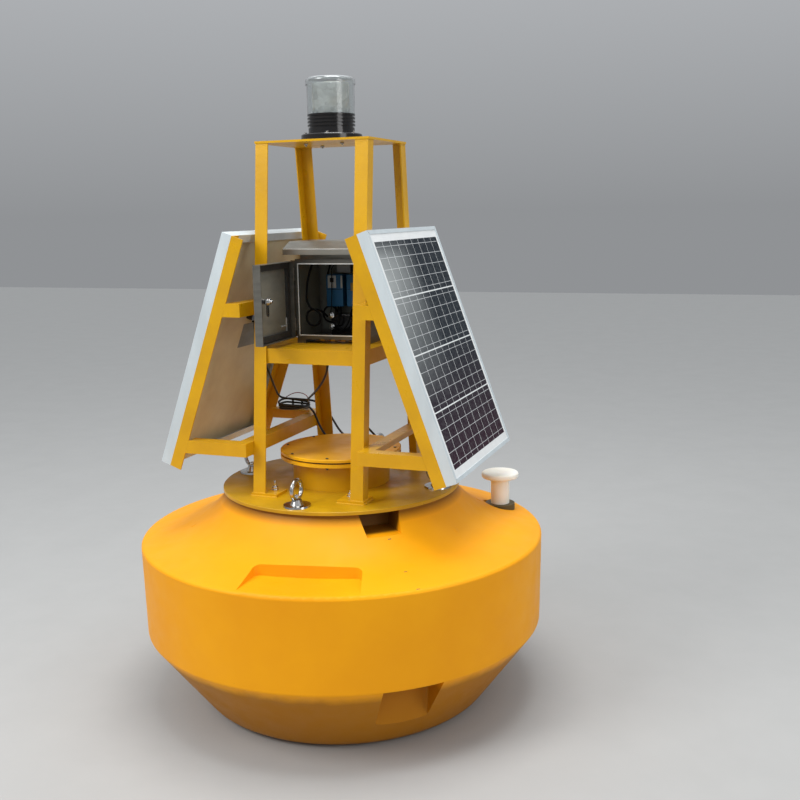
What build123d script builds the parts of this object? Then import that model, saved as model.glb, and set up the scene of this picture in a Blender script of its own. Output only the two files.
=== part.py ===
from build123d import *
import os
from math import atan2, cos, degrees, pi, radians, sin, tan

# Hydrological monitoring buoy: a moulded float, a bolted deck plate with a hatch, a tower of
# angle steel with two leaning solar panels, an instrument box on a shelf and a marine lantern.
# Millimetres, +Z up. The origin is the centre of the float's flat bottom, on the floor.
# The instrument box opens towards -Y, and the panels lean outwards on +X and -X.

os.makedirs("parts", exist_ok=True)

overrun = 20  # how far a cutter reaches past what it cuts
seat_gap = 0.3  # clearance between curved or bolted pieces

# Float: profile radii and heights
hull_diameter = 1200
hull_radius = hull_diameter / 2
rim_height = 500  # crease between the shoulder and the side band
rim_round = 10
band_foot_height = 237
band_inset = 5  # how much smaller the band's foot is than its rim
band_foot_round = 14
cone_inset = 175  # from the band's foot to where the lower cone would meet the floor
floor_edge_round = 73
shoulder_width = 95  # from the rim to where the shoulder turns upwards
shoulder_rise = 21
neck_radius = 345
neck_height = 8
deck_height = 640  # underside of the deck plate
band_foot_radius = hull_radius - band_inset
floor_edge_radius = band_foot_radius - cone_inset
shoulder_foot_radius = hull_radius - shoulder_width
shoulder_foot_height = rim_height + shoulder_rise
neck_foot_height = deck_height - neck_height

# Float: moulded recesses, each with a twin on the far side
recess_count = 2
rim_pocket_angle = -78
rim_pocket_depth = 150  # from the rim to the back wall
rim_pocket_back_width = 286
rim_pocket_mouth_width = 340
rim_pocket_bow = 12  # of its back wall towards the rim
rim_pocket_step = 3  # height of its floor over the rim
rim_pocket_round = 16
rim_pocket_draft = 6
column_angle = -49  # neck slot and cone pocket stand above each other
neck_slot_width = 97
neck_slot_back = 275
neck_slot_height = 57
neck_slot_draft = 10
cone_pocket_depth = 116
cone_pocket_width = 168
cone_pocket_round = 14
cone_pocket_draft = 4

# Probe well in the shoulder, closed by a nylon plug
well_angle = 36
well_inset = 90  # from the rim to the well's axis
well_step = 9  # height of its floor over the rim
well_radius = 54
bush_radius = 46
bush_height = 20
plug_stem_radius = 29
plug_stem_length = 82
plug_head_radius = 58
plug_head_height = 19
plug_head_round = 7
plug_root_round = 6
rim_pocket_back = hull_radius - rim_pocket_depth
rim_pocket_floor = rim_height + rim_pocket_step
neck_slot_floor = deck_height - neck_slot_height
cone_pocket_back = band_foot_radius - cone_pocket_depth
well_distance = hull_radius - well_inset
well_floor = rim_height + well_step

# Steel plate let into the bottom, with a bolt circle for the mooring tail
bottom_plate_radius = 250
bottom_plate_thickness = 10
tail_bolt_circle = 300
tail_bolt_count = 8
tail_hole_radius = 9
tail_hole_depth = 45

# Deck plate and hatch
deck_radius = 354
deck_thickness = 10
deck_edge_chamfer = 1.5
trunk_radius = 145
trunk_wall = 6
trunk_height = 78
hatch_radius = 181
hatch_flange_thickness = 10
gasket_thickness = 5
gasket_inset = 7
cover_thickness = 9
hatch_edge_chamfer = 2

# Lifting eyes on the deck
eye_count = 4
eye_distance = 305
eye_collar_radius = 39
eye_collar_height = 5
eye_root_radius = 20
eye_neck_radius = 13
eye_neck_height = 14
eye_ring_radius = 27
eye_wire_radius = 6
eye_turns = (87, 12, 78, -15)  # degrees each eye is screwed round

# Tower of equal angle steel
angle_leg = 38
angle_thickness = 4
tower_width = 340
tower_foot_depth = 484
tower_top_depth = 284
foot_plate_width = 80
foot_plate_length = 68
foot_plate_lip = 4  # how far it stands out past the posts
foot_plate_thickness = 8
tower_top = 1637  # underside of the top plate
top_plate_thickness = 6
top_plate_lip = 2

# Shelf inside the posts
shelf_frame_top = 1066
shelf_thickness = 4
shelf_slot_length = 150
shelf_slot_width = 44

# Brackets that carry the panels, outside the posts
lower_bracket_top = 806
middle_bracket_top = 1202

# Solar panels
panel_length = 700
panel_width = 547
panel_depth = 31
panel_lean = 19.9
panel_centre_x = 333  # middle of the glass face
panel_centre_z = 1068.5
panel_frame_wall = 2
panel_lip_width = 11
panel_lip_thickness = 1.6
panel_back_flange = 22
laminate_thickness = 5
rail_leg = 36
rail_thickness = 4
junction_width = 86
junction_length = 56
junction_depth = 20
junction_rise = 97  # from the panel's middle up to the middle of the junction box
junction_shift = 40  # and towards the back
junction_round = 6

# Instrument box, its roof and its door
box_width = 222
box_depth = 160
box_wall = 2
box_centre_x = 10
box_front = -62
box_foot_height = 12
box_foot_width = 26
box_lip = 14
box_rim_height = 8
roof_side_overhang = 23
roof_front_overhang = 30
roof_back_overhang = 14
roof_lip = 17
roof_slope_depth = 46
roof_rise = 20
roof_gap = 14  # from the box's top to the lower edge of the roof's lip
roof_sheet = 2
riser_inset = 10  # of the wall that carries the roof, from the box's sides
door_thickness = 23
door_gap = 2
door_sheet = 2
door_margin = 5  # box's height above and below the door
door_open_angle = 87
hinge_radius = 4
hinge_pin_radius = 2
hinge_pin_play = 0.2
hinge_knuckle = 18
hinge_leaf = 2
hinge_leaf_width = 13
hinge_inset = 38
lock_inset = 30
lock_rise = 10  # over the middle of the door
lock_head_radius = 12
lock_head_height = 6
lock_barrel_radius = 9
lock_barrel_length = 25
lock_cam_length = 54
lock_cam_width = 13
lock_cam_thickness = 3
lock_cam_tail = 12

# What stands in the instrument box
back_panel_thickness = 3
back_panel_margin = 12
module_width = 54
module_height = 95
module_depth = 48
module_gap = 12
module_left = -53
module_clearance = 22  # over the battery
module_round = 3
radio_width = 44
radio_height = 27
radio_depth = 30
radio_left = -25
radio_clearance = 4
head_room = 17  # over the radio unit
battery_width = 138
battery_height = 62
battery_depth = 66
battery_right = 106
gland_count = 4
gland_spacing = 34
gland_radius = 10
gland_nut_radius = 13
gland_nut_height = 6
gland_length = 24

# Cables, the hank that lies on the left bracket, and the glands on the deck
cable_radius = 3.5
lead_gland_radius = 6
lead_gland_length = 10
hank_length = 112
hank_width = 56
hank_height = 24
hank_round = 8
hank_x = -274
deck_gland_radius = 11
deck_gland_height = 20
deck_gland_nut = 15
deck_gland_nut_height = 7
loop_radius = 24
loop_wire_radius = 2.5
loop_left_gap = 11  # from the box's wall to the loop
loop_foot_gap = 30  # from the box's floor to the loop
loop_rise_points = ((0, 0), (-8, 30), (-10, 62), (-7, 96), (4, 128))
tail_wire_radius = 2
tail_wire_count = 3
tail_wire_spacing = 9

# Lantern
lantern_flange_radius = 87
lantern_flange_height = 20
lantern_flange_chamfer = 2.5
lantern_foot_radius = 66
lantern_foot_height = 17
rib_count = 4
rib_pitch = 9.5
rib_height = 5
rib_radius = 68
rib_root_radius = 62
cover_radius = 68
cover_height = 101
cover_wall = 3
cap_radius = 71
cap_height = 20
cap_round = 11
nub_radius = 6
nub_height = 5
lens_radius = 53
lens_wall = 3
lens_height = 84
lens_rib_count = 10
lens_rib_depth = 2


def save(piece, name):
    """Label one finished piece and write it as its own STEP file."""
    piece.part.label = name
    export_step(piece.part, f"parts/{name}.step")


def angle_section(leg, thickness, toward_x, toward_y):
    """Corner points of an angle section with its heel at the origin."""
    return [
        (0, 0),
        (toward_x * leg, 0),
        (toward_x * leg, toward_y * thickness),
        (toward_x * thickness, toward_y * thickness),
        (toward_x * thickness, toward_y * leg),
        (0, toward_y * leg),
    ]


# Float
shoulder_run = Vector(shoulder_foot_radius - hull_radius, shoulder_foot_height - rim_height)
with BuildPart() as hull:
    with BuildSketch(Plane.XZ) as hull_profile:
        with BuildLine():
            Polyline(
                (neck_radius, neck_foot_height),
                (neck_radius, deck_height),
                (0, deck_height),
                (0, 0),
                (floor_edge_radius, 0),
                (band_foot_radius, band_foot_height),
                (hull_radius, rim_height),
                (shoulder_foot_radius, shoulder_foot_height),
            )
            TangentArc(
                (shoulder_foot_radius, shoulder_foot_height),
                (neck_radius, neck_foot_height),
                tangent=shoulder_run,
            )
        make_face()
        for corner, round_radius in (
            ((floor_edge_radius, 0), floor_edge_round),
            ((band_foot_radius, band_foot_height), band_foot_round),
            ((hull_radius, rim_height), rim_round),
        ):
            fillet(vertices().sort_by_distance(corner)[0], radius=round_radius)
    revolve(axis=Axis.Z)

    # Wedge pockets in the shoulder, with a level floor that runs out to the rim
    for index in range(recess_count):
        around = radians(rim_pocket_angle + index * 360 / recess_count)
        with BuildSketch(Plane((0, 0, rim_pocket_floor), x_dir=(cos(around), sin(around), 0))):
            with BuildLine():
                back_corners = [(rim_pocket_back, end * rim_pocket_back_width / 2) for end in (-1, 1)]
                mouth_corners = [(hull_radius + overrun, end * rim_pocket_mouth_width / 2) for end in (-1, 1)]
                Polyline(back_corners[0], mouth_corners[0], mouth_corners[1], back_corners[1])
                ThreePointArc(back_corners[1], (rim_pocket_back + rim_pocket_bow, 0), back_corners[0])
            make_face()
            for corner in back_corners:
                fillet(vertices().sort_by_distance(corner)[0], radius=rim_pocket_round)
        extrude(amount=deck_height - rim_pocket_floor, taper=-rim_pocket_draft, mode=Mode.SUBTRACT)

    # Slots in the neck, under the edge of the deck plate
    with BuildSketch(Plane.XY.offset(neck_slot_floor)):
        with PolarLocations((neck_slot_back + shoulder_foot_radius) / 2, recess_count, start_angle=column_angle):
            Rectangle(shoulder_foot_radius - neck_slot_back, neck_slot_width)
    extrude(amount=deck_height - neck_slot_floor + overrun, taper=-neck_slot_draft, mode=Mode.SUBTRACT)

    # Pockets in the lower cone, with a level roof at the foot of the band
    with BuildSketch(Plane.XY.offset(band_foot_height)):
        with PolarLocations((cone_pocket_back + hull_radius + overrun) / 2, recess_count, start_angle=column_angle):
            RectangleRounded(hull_radius + overrun - cone_pocket_back, cone_pocket_width, cone_pocket_round)
    extrude(amount=-band_foot_height - overrun, taper=cone_pocket_draft, mode=Mode.SUBTRACT)

    # Socket of the probe well
    with BuildSketch(Plane.XY.offset(well_floor)):
        with PolarLocations(well_distance, 1, start_angle=well_angle):
            Circle(well_radius)
    extrude(amount=deck_height - well_floor, mode=Mode.SUBTRACT)

    # Seat of the bottom plate and the bores behind its bolt circle
    with BuildSketch(Plane.XY):
        Circle(bottom_plate_radius + seat_gap)
    extrude(amount=bottom_plate_thickness, mode=Mode.SUBTRACT)
    with BuildSketch(Plane.XY.offset(bottom_plate_thickness)):
        with PolarLocations(tail_bolt_circle / 2, tail_bolt_count):
            Circle(tail_hole_radius)
    extrude(amount=tail_hole_depth, mode=Mode.SUBTRACT)
save(hull, "hull")

with BuildPart() as bottom_plate:
    with BuildSketch():
        Circle(bottom_plate_radius)
        with PolarLocations(tail_bolt_circle / 2, tail_bolt_count):
            Circle(tail_hole_radius, mode=Mode.SUBTRACT)
    extrude(amount=bottom_plate_thickness)
save(bottom_plate, "bottom_plate")

# Probe well: a dark bush in the socket and the mushroom-shaped plug on it
well_x = well_distance * cos(radians(well_angle))
well_y = well_distance * sin(radians(well_angle))
with BuildPart(Plane((well_x, well_y, well_floor))) as well_bush:
    Cylinder(bush_radius, bush_height, align=(Align.CENTER, Align.CENTER, Align.MIN))
save(well_bush, "well_bush")

with BuildPart() as well_plug:
    with BuildSketch(Plane((well_x, well_y, well_floor + bush_height), x_dir=(1, 0, 0), z_dir=(0, -1, 0))):
        with BuildLine():
            Polyline(
                (0, 0),
                (plug_stem_radius, 0),
                (plug_stem_radius, plug_stem_length),
                (plug_head_radius, plug_stem_length),
                (plug_head_radius, plug_stem_length + plug_head_height),
                (0, plug_stem_length + plug_head_height),
                close=True,
            )
        make_face()
        head_points = [
            (plug_head_radius, plug_stem_length),
            (plug_head_radius, plug_stem_length + plug_head_height),
        ]
        for point in head_points:
            fillet(vertices().sort_by_distance(point)[0], radius=plug_head_round)
        fillet(vertices().sort_by_distance((plug_stem_radius, plug_stem_length))[0], radius=plug_root_round)
    revolve(axis=Axis((well_x, well_y, 0), (0, 0, 1)))
save(well_plug, "well_plug")

# Deck plate, hatch trunk with its flange, gasket and cover
deck_top = deck_height + deck_thickness
with BuildPart() as deck_plate:
    with BuildSketch(Plane.XY.offset(deck_height)):
        Circle(deck_radius)
        Circle(trunk_radius - trunk_wall, mode=Mode.SUBTRACT)
    extrude(amount=deck_thickness)
    chamfer(edges().group_by(Axis.Z)[-1].sort_by(SortBy.LENGTH)[-1], length=deck_edge_chamfer)
save(deck_plate, "deck_plate")

trunk_top = deck_top + trunk_height
with BuildPart() as hatch_trunk:
    with BuildSketch(Plane.XY.offset(deck_top)):
        Circle(trunk_radius)
        Circle(trunk_radius - trunk_wall, mode=Mode.SUBTRACT)
    extrude(amount=trunk_height)
save(hatch_trunk, "hatch_trunk")

with BuildPart() as hatch_flange:
    with BuildSketch(Plane.XY.offset(trunk_top)):
        Circle(hatch_radius)
        Circle(trunk_radius - trunk_wall, mode=Mode.SUBTRACT)
    extrude(amount=hatch_flange_thickness)
save(hatch_flange, "hatch_flange")

gasket_foot = trunk_top + hatch_flange_thickness
with BuildPart() as hatch_gasket:
    with BuildSketch(Plane.XY.offset(gasket_foot)):
        Circle(hatch_radius - gasket_inset)
        Circle(trunk_radius - trunk_wall, mode=Mode.SUBTRACT)
    extrude(amount=gasket_thickness)
save(hatch_gasket, "hatch_gasket")

with BuildPart() as hatch_cover:
    with BuildSketch(Plane.XY.offset(gasket_foot + gasket_thickness)):
        Circle(hatch_radius)
    extrude(amount=cover_thickness)
    chamfer(edges().group_by(Axis.Z)[-1], length=hatch_edge_chamfer)
save(hatch_cover, "hatch_cover")

# Lifting eyes: collar, neck and an upright ring
ring_height = eye_collar_height + eye_neck_height + eye_ring_radius
with BuildPart() as lifting_eyes:
    for index, turn in enumerate(eye_turns[:eye_count]):
        around = radians(index * 360 / eye_count - 90)
        foot = Plane((eye_distance * cos(around), eye_distance * sin(around), deck_top))
        with BuildSketch(foot):
            Circle(eye_collar_radius)
        extrude(amount=eye_collar_height, taper=degrees(atan2(1, 4)))
        with BuildSketch(foot.offset(eye_collar_height)):
            Circle(eye_root_radius)
        extrude(amount=eye_neck_height, taper=degrees(atan2(eye_root_radius - eye_neck_radius, eye_neck_height)))
        with Locations(foot * Location((0, 0, ring_height), (90, turn, 0))):
            Torus(eye_ring_radius, eye_wire_radius)
save(lifting_eyes, "lifting_eyes")

# Tower: four leaning angle posts on foot plates, under a top plate
foot_top = deck_top + foot_plate_thickness
post_rise = tower_top - foot_top
post_lean = (tower_foot_depth - tower_top_depth) / 2


def post_face(height):
    """Distance from the tower's middle to the posts' outer face at a height."""
    return tower_foot_depth / 2 - post_lean * (height - foot_top) / post_rise


corners = {"front_left": (-1, -1), "front_right": (1, -1), "back_left": (-1, 1), "back_right": (1, 1)}
for place, (side, end) in corners.items():
    heel = Plane((side * tower_width / 2, end * tower_foot_depth / 2, foot_top))
    with BuildPart() as post:
        with BuildSketch(heel):
            Polygon(*angle_section(angle_leg, angle_thickness, -side, -end), align=None)
        extrude(amount=(post_lean**2 + post_rise**2) ** 0.5, dir=(0, -end * post_lean, post_rise))
    save(post, f"post_{place}")

with BuildPart() as foot_plates:
    with BuildSketch(Plane.XY.offset(deck_top)):
        foot_spacing = tower_width - foot_plate_width + 2 * foot_plate_lip
        foot_gauge = tower_foot_depth - foot_plate_length + 2 * foot_plate_lip
        with GridLocations(foot_spacing, foot_gauge, 2, 2):
            Rectangle(foot_plate_width, foot_plate_length)
    extrude(amount=foot_plate_thickness)
save(foot_plates, "foot_plates")

with BuildPart() as top_plate:
    with BuildSketch(Plane.XY.offset(tower_top)):
        Rectangle(tower_width + 2 * top_plate_lip, tower_top_depth + 2 * top_plate_lip)
    extrude(amount=top_plate_thickness)
save(top_plate, "top_plate")

# Shelf: a mitred angle frame between the posts, with a plate on it
shelf_half_depth = post_face(shelf_frame_top) - angle_thickness - seat_gap
shelf_half_width = tower_width / 2 - angle_thickness - seat_gap
with BuildPart() as shelf_frame:
    with BuildSketch(Plane.XY.offset(shelf_frame_top)):
        Rectangle(2 * shelf_half_width, 2 * shelf_half_depth)
    extrude(amount=-angle_leg)
    with BuildSketch(Plane.XY.offset(shelf_frame_top)):
        Rectangle(2 * (shelf_half_width - angle_leg), 2 * (shelf_half_depth - angle_leg))
    extrude(amount=-angle_thickness, mode=Mode.SUBTRACT)
    with BuildSketch(Plane.XY.offset(shelf_frame_top - angle_thickness)):
        Rectangle(2 * (shelf_half_width - angle_thickness), 2 * (shelf_half_depth - angle_thickness))
    extrude(amount=-angle_leg, mode=Mode.SUBTRACT)
save(shelf_frame, "shelf_frame")

box_middle_y = box_front + box_depth / 2
shelf_top = shelf_frame_top + shelf_thickness
plate_half_depth = post_face(shelf_top) - angle_thickness - seat_gap
with BuildPart() as shelf_plate:
    with BuildSketch(Plane.XY.offset(shelf_frame_top)):
        Rectangle(2 * shelf_half_width, 2 * plate_half_depth)
        with Locations((box_centre_x, box_middle_y)):
            SlotOverall(shelf_slot_length, shelf_slot_width, mode=Mode.SUBTRACT)
    extrude(amount=shelf_thickness)
save(shelf_plate, "shelf_plate")

# Brackets: U frames of angle steel round the outside of the posts, cut off along the rails
bracket_inner = tower_width / 2 + seat_gap
bracket_half_depth = panel_width / 2
lean_cos = cos(radians(panel_lean))
lean_sin = sin(radians(panel_lean))
rail_drop = panel_depth + rail_leg + seat_gap  # from the glass face to the rails' inner edge
for level, bracket_top in (("lower", lower_bracket_top), ("middle", middle_bracket_top)):
    for side_name, side in (("left", -1), ("right", 1)):
        outward = Vector(side * lean_cos, 0, lean_sin)
        glass_middle = Vector(side * panel_centre_x, 0, panel_centre_z)
        rail_edge = Plane(glass_middle - outward * rail_drop, x_dir=(0, 1, 0), z_dir=outward)
        arm_reach = panel_centre_x + panel_length / 2 * lean_sin
        frame_middle = side * (bracket_inner + arm_reach) / 2
        arm_length = arm_reach - bracket_inner
        with BuildPart() as bracket:
            with BuildSketch(Plane.XY.offset(bracket_top)):
                with Locations((frame_middle, 0)):
                    Rectangle(arm_length, 2 * bracket_half_depth)
            extrude(amount=-angle_leg)
            with BuildSketch(Plane.XY.offset(bracket_top - angle_thickness)):
                with Locations((frame_middle + side * angle_thickness, 0)):
                    Rectangle(arm_length, 2 * (bracket_half_depth - angle_thickness))
            extrude(amount=-angle_leg, mode=Mode.SUBTRACT)
            with BuildSketch(Plane.XY.offset(bracket_top)):
                with Locations((frame_middle + side * angle_leg, 0)):
                    Rectangle(arm_length, 2 * (bracket_half_depth - angle_leg))
            extrude(amount=-angle_thickness, mode=Mode.SUBTRACT)
            split(bisect_by=rail_edge, keep=Keep.BOTTOM)
        save(bracket, f"{level}_bracket_{side_name}")

# Solar panels: framed laminate on two rails, with a junction box behind
for side_name, side in (("left", -1), ("right", 1)):
    outward = Vector(side * lean_cos, 0, lean_sin)
    glass = Plane(Vector(side * panel_centre_x, 0, panel_centre_z), x_dir=(0, side, 0), z_dir=outward)
    back = glass.offset(-panel_depth)
    with BuildPart() as panel_frame:
        with BuildSketch(glass):
            Rectangle(panel_width, panel_length)
        extrude(amount=-panel_depth)
        with BuildSketch(glass):
            Rectangle(panel_width - 2 * panel_lip_width, panel_length - 2 * panel_lip_width)
        extrude(amount=-panel_lip_thickness, mode=Mode.SUBTRACT)
        with BuildSketch(glass.offset(-panel_lip_thickness)):
            Rectangle(panel_width - 2 * panel_frame_wall, panel_length - 2 * panel_frame_wall)
        extrude(amount=-(panel_depth - panel_lip_thickness - panel_frame_wall), mode=Mode.SUBTRACT)
        with BuildSketch(back):
            Rectangle(panel_width - 2 * panel_back_flange, panel_length - 2 * panel_back_flange)
        extrude(amount=panel_frame_wall, mode=Mode.SUBTRACT)
    save(panel_frame, f"panel_frame_{side_name}")

    laminate_front = glass.offset(-panel_lip_thickness)
    laminate_inset = panel_frame_wall + seat_gap
    with BuildPart() as laminate:
        with BuildSketch(laminate_front):
            Rectangle(panel_width - 2 * laminate_inset, panel_length - 2 * laminate_inset)
        extrude(amount=-laminate_thickness)
    save(laminate, f"panel_laminate_{side_name}")

    with BuildPart() as junction_box:
        with BuildSketch(laminate_front.offset(-laminate_thickness)):
            with Locations((side * junction_shift, junction_rise)):
                RectangleRounded(junction_width, junction_length, junction_round)
        extrude(amount=-junction_depth, taper=2 * junction_round / junction_depth)
        with BuildSketch(laminate_front.offset(-laminate_thickness - junction_depth / 2)):
            with Locations((side * junction_shift, junction_rise - junction_length / 2 - lead_gland_length / 2)):
                Rectangle(2 * lead_gland_radius, lead_gland_length + junction_round)
        extrude(amount=lead_gland_radius, both=True)
    save(junction_box, f"junction_box_{side_name}")

    for end_name, end in (("front", -1), ("back", 1)):
        rail_heel = end * side * panel_width / 2
        with BuildPart() as rail:
            with BuildSketch(back):
                with Locations((rail_heel - end * side * rail_leg / 2, 0)):
                    Rectangle(rail_leg, panel_length)
            extrude(amount=-rail_thickness)
            with BuildSketch(back):
                with Locations((rail_heel - end * side * rail_thickness / 2, 0)):
                    Rectangle(rail_thickness, panel_length)
            extrude(amount=-rail_leg)
        save(rail, f"panel_rail_{side_name}_{end_name}")

# Instrument box: a hollow body with an inward lip and a rim round its mouth, as high as its fittings need
box_foot = shelf_top + box_foot_height
module_foot = box_foot + box_wall + battery_height + module_clearance
radio_foot = module_foot + module_height + radio_clearance
box_height = radio_foot + radio_height + head_room + box_wall - box_foot
box_top = box_foot + box_height
box_left = box_centre_x - box_width / 2
box_face = Plane((box_centre_x, box_front, box_foot + box_height / 2), x_dir=(1, 0, 0), z_dir=(0, -1, 0))
mouth_width = box_width - 2 * box_lip
mouth_height = box_height - 2 * box_lip
with BuildPart() as enclosure_body:
    with BuildSketch(box_face):
        Rectangle(box_width, box_height)
    extrude(amount=-box_depth)
    with BuildSketch(box_face.offset(-box_wall)):
        Rectangle(box_width - 2 * box_wall, box_height - 2 * box_wall)
    extrude(amount=-(box_depth - 2 * box_wall), mode=Mode.SUBTRACT)
    with BuildSketch(box_face):
        Rectangle(mouth_width + 2 * box_wall, mouth_height + 2 * box_wall)
    extrude(amount=box_rim_height)
    with BuildSketch(box_face.offset(box_rim_height)):
        Rectangle(mouth_width, mouth_height)
    extrude(amount=-box_rim_height - box_wall, mode=Mode.SUBTRACT)
save(enclosure_body, "enclosure_body")

with BuildPart() as enclosure_feet:
    with BuildSketch(Plane.XY.offset(shelf_top)):
        with Locations((box_centre_x, box_middle_y)):
            with GridLocations(box_width - box_foot_width, 0, 2, 1):
                Rectangle(box_foot_width, box_depth)
    extrude(amount=box_foot_height)
save(enclosure_feet, "enclosure_feet")

# Roof: a folded sheet with a sloping front, on a riser that closes the space over the box
roof_front = box_front - roof_front_overhang
roof_back = box_front + box_depth + roof_back_overhang
roof_width = box_width + 2 * roof_side_overhang
lip_foot = box_top + roof_gap
lip_top = lip_foot + roof_lip
roof_top = lip_top + roof_rise
roof_left = box_centre_x - roof_width / 2
with BuildPart() as enclosure_roof:
    with BuildSketch(Plane((roof_left, 0, 0), x_dir=(0, 1, 0), z_dir=(1, 0, 0))):
        Polygon(
            (roof_front, lip_foot),
            (roof_front, lip_top),
            (roof_front + roof_slope_depth, roof_top),
            (roof_back, roof_top),
            (roof_back, lip_foot),
            align=None,
        )
    extrude(amount=roof_width)
    with BuildSketch(Plane((roof_left + roof_sheet, 0, 0), x_dir=(0, 1, 0), z_dir=(1, 0, 0))):
        Polygon(
            (roof_front + roof_sheet, lip_foot - overrun),
            (roof_front + roof_sheet, lip_top - roof_sheet),
            (roof_front + roof_slope_depth, roof_top - roof_sheet),
            (roof_back - roof_sheet, roof_top - roof_sheet),
            (roof_back - roof_sheet, lip_foot - overrun),
            align=None,
        )
    extrude(amount=roof_width - 2 * roof_sheet, mode=Mode.SUBTRACT)
    riser_front = roof_front + roof_slope_depth
    riser_depth = box_front + box_depth - riser_front
    riser_width = box_width - 2 * riser_inset
    with BuildSketch(Plane.XY.offset(box_top)):
        with Locations((box_centre_x, riser_front + riser_depth / 2)):
            Rectangle(riser_width, riser_depth)
            Rectangle(riser_width - 2 * roof_sheet, riser_depth - 2 * roof_sheet, mode=Mode.SUBTRACT)
    extrude(amount=roof_top - roof_sheet - box_top)
save(enclosure_roof, "enclosure_roof")

# Door: a folded pan on two pin hinges. At rest it stands open, and it closes about +Z.
hinge_x = box_left - hinge_radius
hinge_y = box_front - hinge_radius
door_foot = box_foot + door_margin
door_height = box_height - 2 * door_margin
swing = radians(door_open_angle)
door_plane = Plane((hinge_x, hinge_y, door_foot), x_dir=(cos(swing), -sin(swing), 0), z_dir=(0, 0, 1))
pan_inner = hinge_radius - door_gap  # the pan's open side, measured across the door
pan_outer = pan_inner - door_thickness
hinge_heights = (hinge_inset, door_height - hinge_inset)
lock_along = hinge_radius + box_width - lock_inset
lock_height = door_height / 2 + lock_rise


def door_face(across):
    """Plane parallel to the door, x along its width from the hinge and y upwards."""
    origin = door_plane.origin + door_plane.y_dir * across
    return Plane(origin, x_dir=door_plane.x_dir, z_dir=-door_plane.y_dir)


with BuildPart() as enclosure_door:
    with BuildSketch(door_face(pan_outer)):
        with Locations((hinge_radius + box_width / 2, door_height / 2)):
            Rectangle(box_width, door_height)
    extrude(amount=-door_thickness)
    with BuildSketch(door_face(pan_outer + door_sheet)):
        with Locations((hinge_radius + box_width / 2, door_height / 2)):
            Rectangle(box_width - 2 * door_sheet, door_height - 2 * door_sheet)
    extrude(amount=-door_thickness, mode=Mode.SUBTRACT)
    with BuildSketch(door_face(pan_outer)):
        with Locations((lock_along, lock_height)):
            Circle(lock_barrel_radius + seat_gap)
    extrude(amount=-door_sheet, mode=Mode.SUBTRACT)
    for height in hinge_heights:
        upper = door_plane.offset(height + seat_gap)
        with BuildSketch(upper):
            Circle(hinge_radius)
            with Locations((hinge_radius / 2, -hinge_leaf_width / 2)):
                Rectangle(hinge_radius, hinge_leaf_width)
        extrude(amount=hinge_knuckle)
        with BuildSketch(upper):
            Circle(hinge_pin_radius)
        extrude(amount=-hinge_knuckle)
save(enclosure_door, "enclosure_door")

with BuildPart() as door_hinges:
    for height in hinge_heights:
        lower = Plane((hinge_x, hinge_y, door_foot + height))
        with BuildSketch(lower):
            Circle(hinge_radius)
            with Locations((hinge_radius - hinge_leaf / 2, hinge_radius + hinge_leaf_width / 2)):
                Rectangle(hinge_leaf, hinge_leaf_width + 2 * hinge_radius)
            Circle(hinge_pin_radius + hinge_pin_play, mode=Mode.SUBTRACT)
        extrude(amount=-hinge_knuckle)
save(door_hinges, "door_hinges")

# Cam lock through the door near its free edge, turned to its open position
with BuildPart() as door_lock:
    with BuildSketch(door_face(pan_outer)):
        with Locations((lock_along, lock_height)):
            Circle(lock_head_radius)
    extrude(amount=lock_head_height)
    with BuildSketch(door_face(pan_outer)):
        with Locations((lock_along, lock_height)):
            Circle(lock_barrel_radius)
    extrude(amount=-lock_barrel_length)
    with BuildSketch(door_face(pan_outer + lock_barrel_length)):
        with Locations((lock_along, lock_height - lock_cam_length / 2 + lock_cam_tail)):
            SlotOverall(lock_cam_length, lock_cam_width, rotation=90)
    extrude(amount=-lock_cam_thickness)
save(door_lock, "door_lock")

# Fittings in the box: back panel, two electronic modules, a radio unit, a battery and glands
back_panel_face = box_front + box_depth - box_wall - back_panel_thickness
with BuildPart() as back_panel:
    with BuildSketch(Plane((box_centre_x, back_panel_face, box_foot + box_height / 2), z_dir=(0, -1, 0), x_dir=(1, 0, 0))):
        Rectangle(box_width - 2 * back_panel_margin, box_height - 2 * back_panel_margin)
    extrude(amount=-back_panel_thickness)
save(back_panel, "back_panel")


def panel_block(left, foot, width, height, depth):
    """A block on the back panel, given by its lower left corner and its size."""
    face = Plane((left + width / 2, back_panel_face, foot + height / 2), z_dir=(0, -1, 0), x_dir=(1, 0, 0))
    with BuildPart() as block:
        with BuildSketch(face):
            RectangleRounded(width, height, module_round)
        extrude(amount=depth)
        fillet(block.faces().sort_by(Axis.Y)[0].edges(), radius=module_round / 2)
    return block


battery_left = battery_right - battery_width
# name, left edge, foot, width, height, depth
for name, left, foot, width, height, depth in (
    ("charge_controller", module_left, module_foot, module_width, module_height, module_depth),
    ("data_logger", module_left + module_width + module_gap, module_foot, module_width, module_height, module_depth),
    ("radio_unit", radio_left, radio_foot, radio_width, radio_height, radio_depth),
    ("battery_pack", battery_left, box_foot + box_wall, battery_width, battery_height, battery_depth),
):
    save(panel_block(left, foot, width, height, depth), name)

with BuildPart() as cable_glands:
    with BuildSketch(Plane.XY.offset(box_foot)):
        with Locations((box_centre_x, box_middle_y)):
            with GridLocations(gland_spacing, 0, gland_count, 1):
                RegularPolygon(gland_nut_radius, 6)
    extrude(amount=-gland_nut_height)
    with BuildSketch(Plane.XY.offset(box_foot - gland_nut_height)):
        with Locations((box_centre_x, box_middle_y)):
            with GridLocations(gland_spacing, 0, gland_count, 1):
                Circle(gland_radius)
    extrude(amount=-gland_length)
save(cable_glands, "cable_glands")

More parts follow.
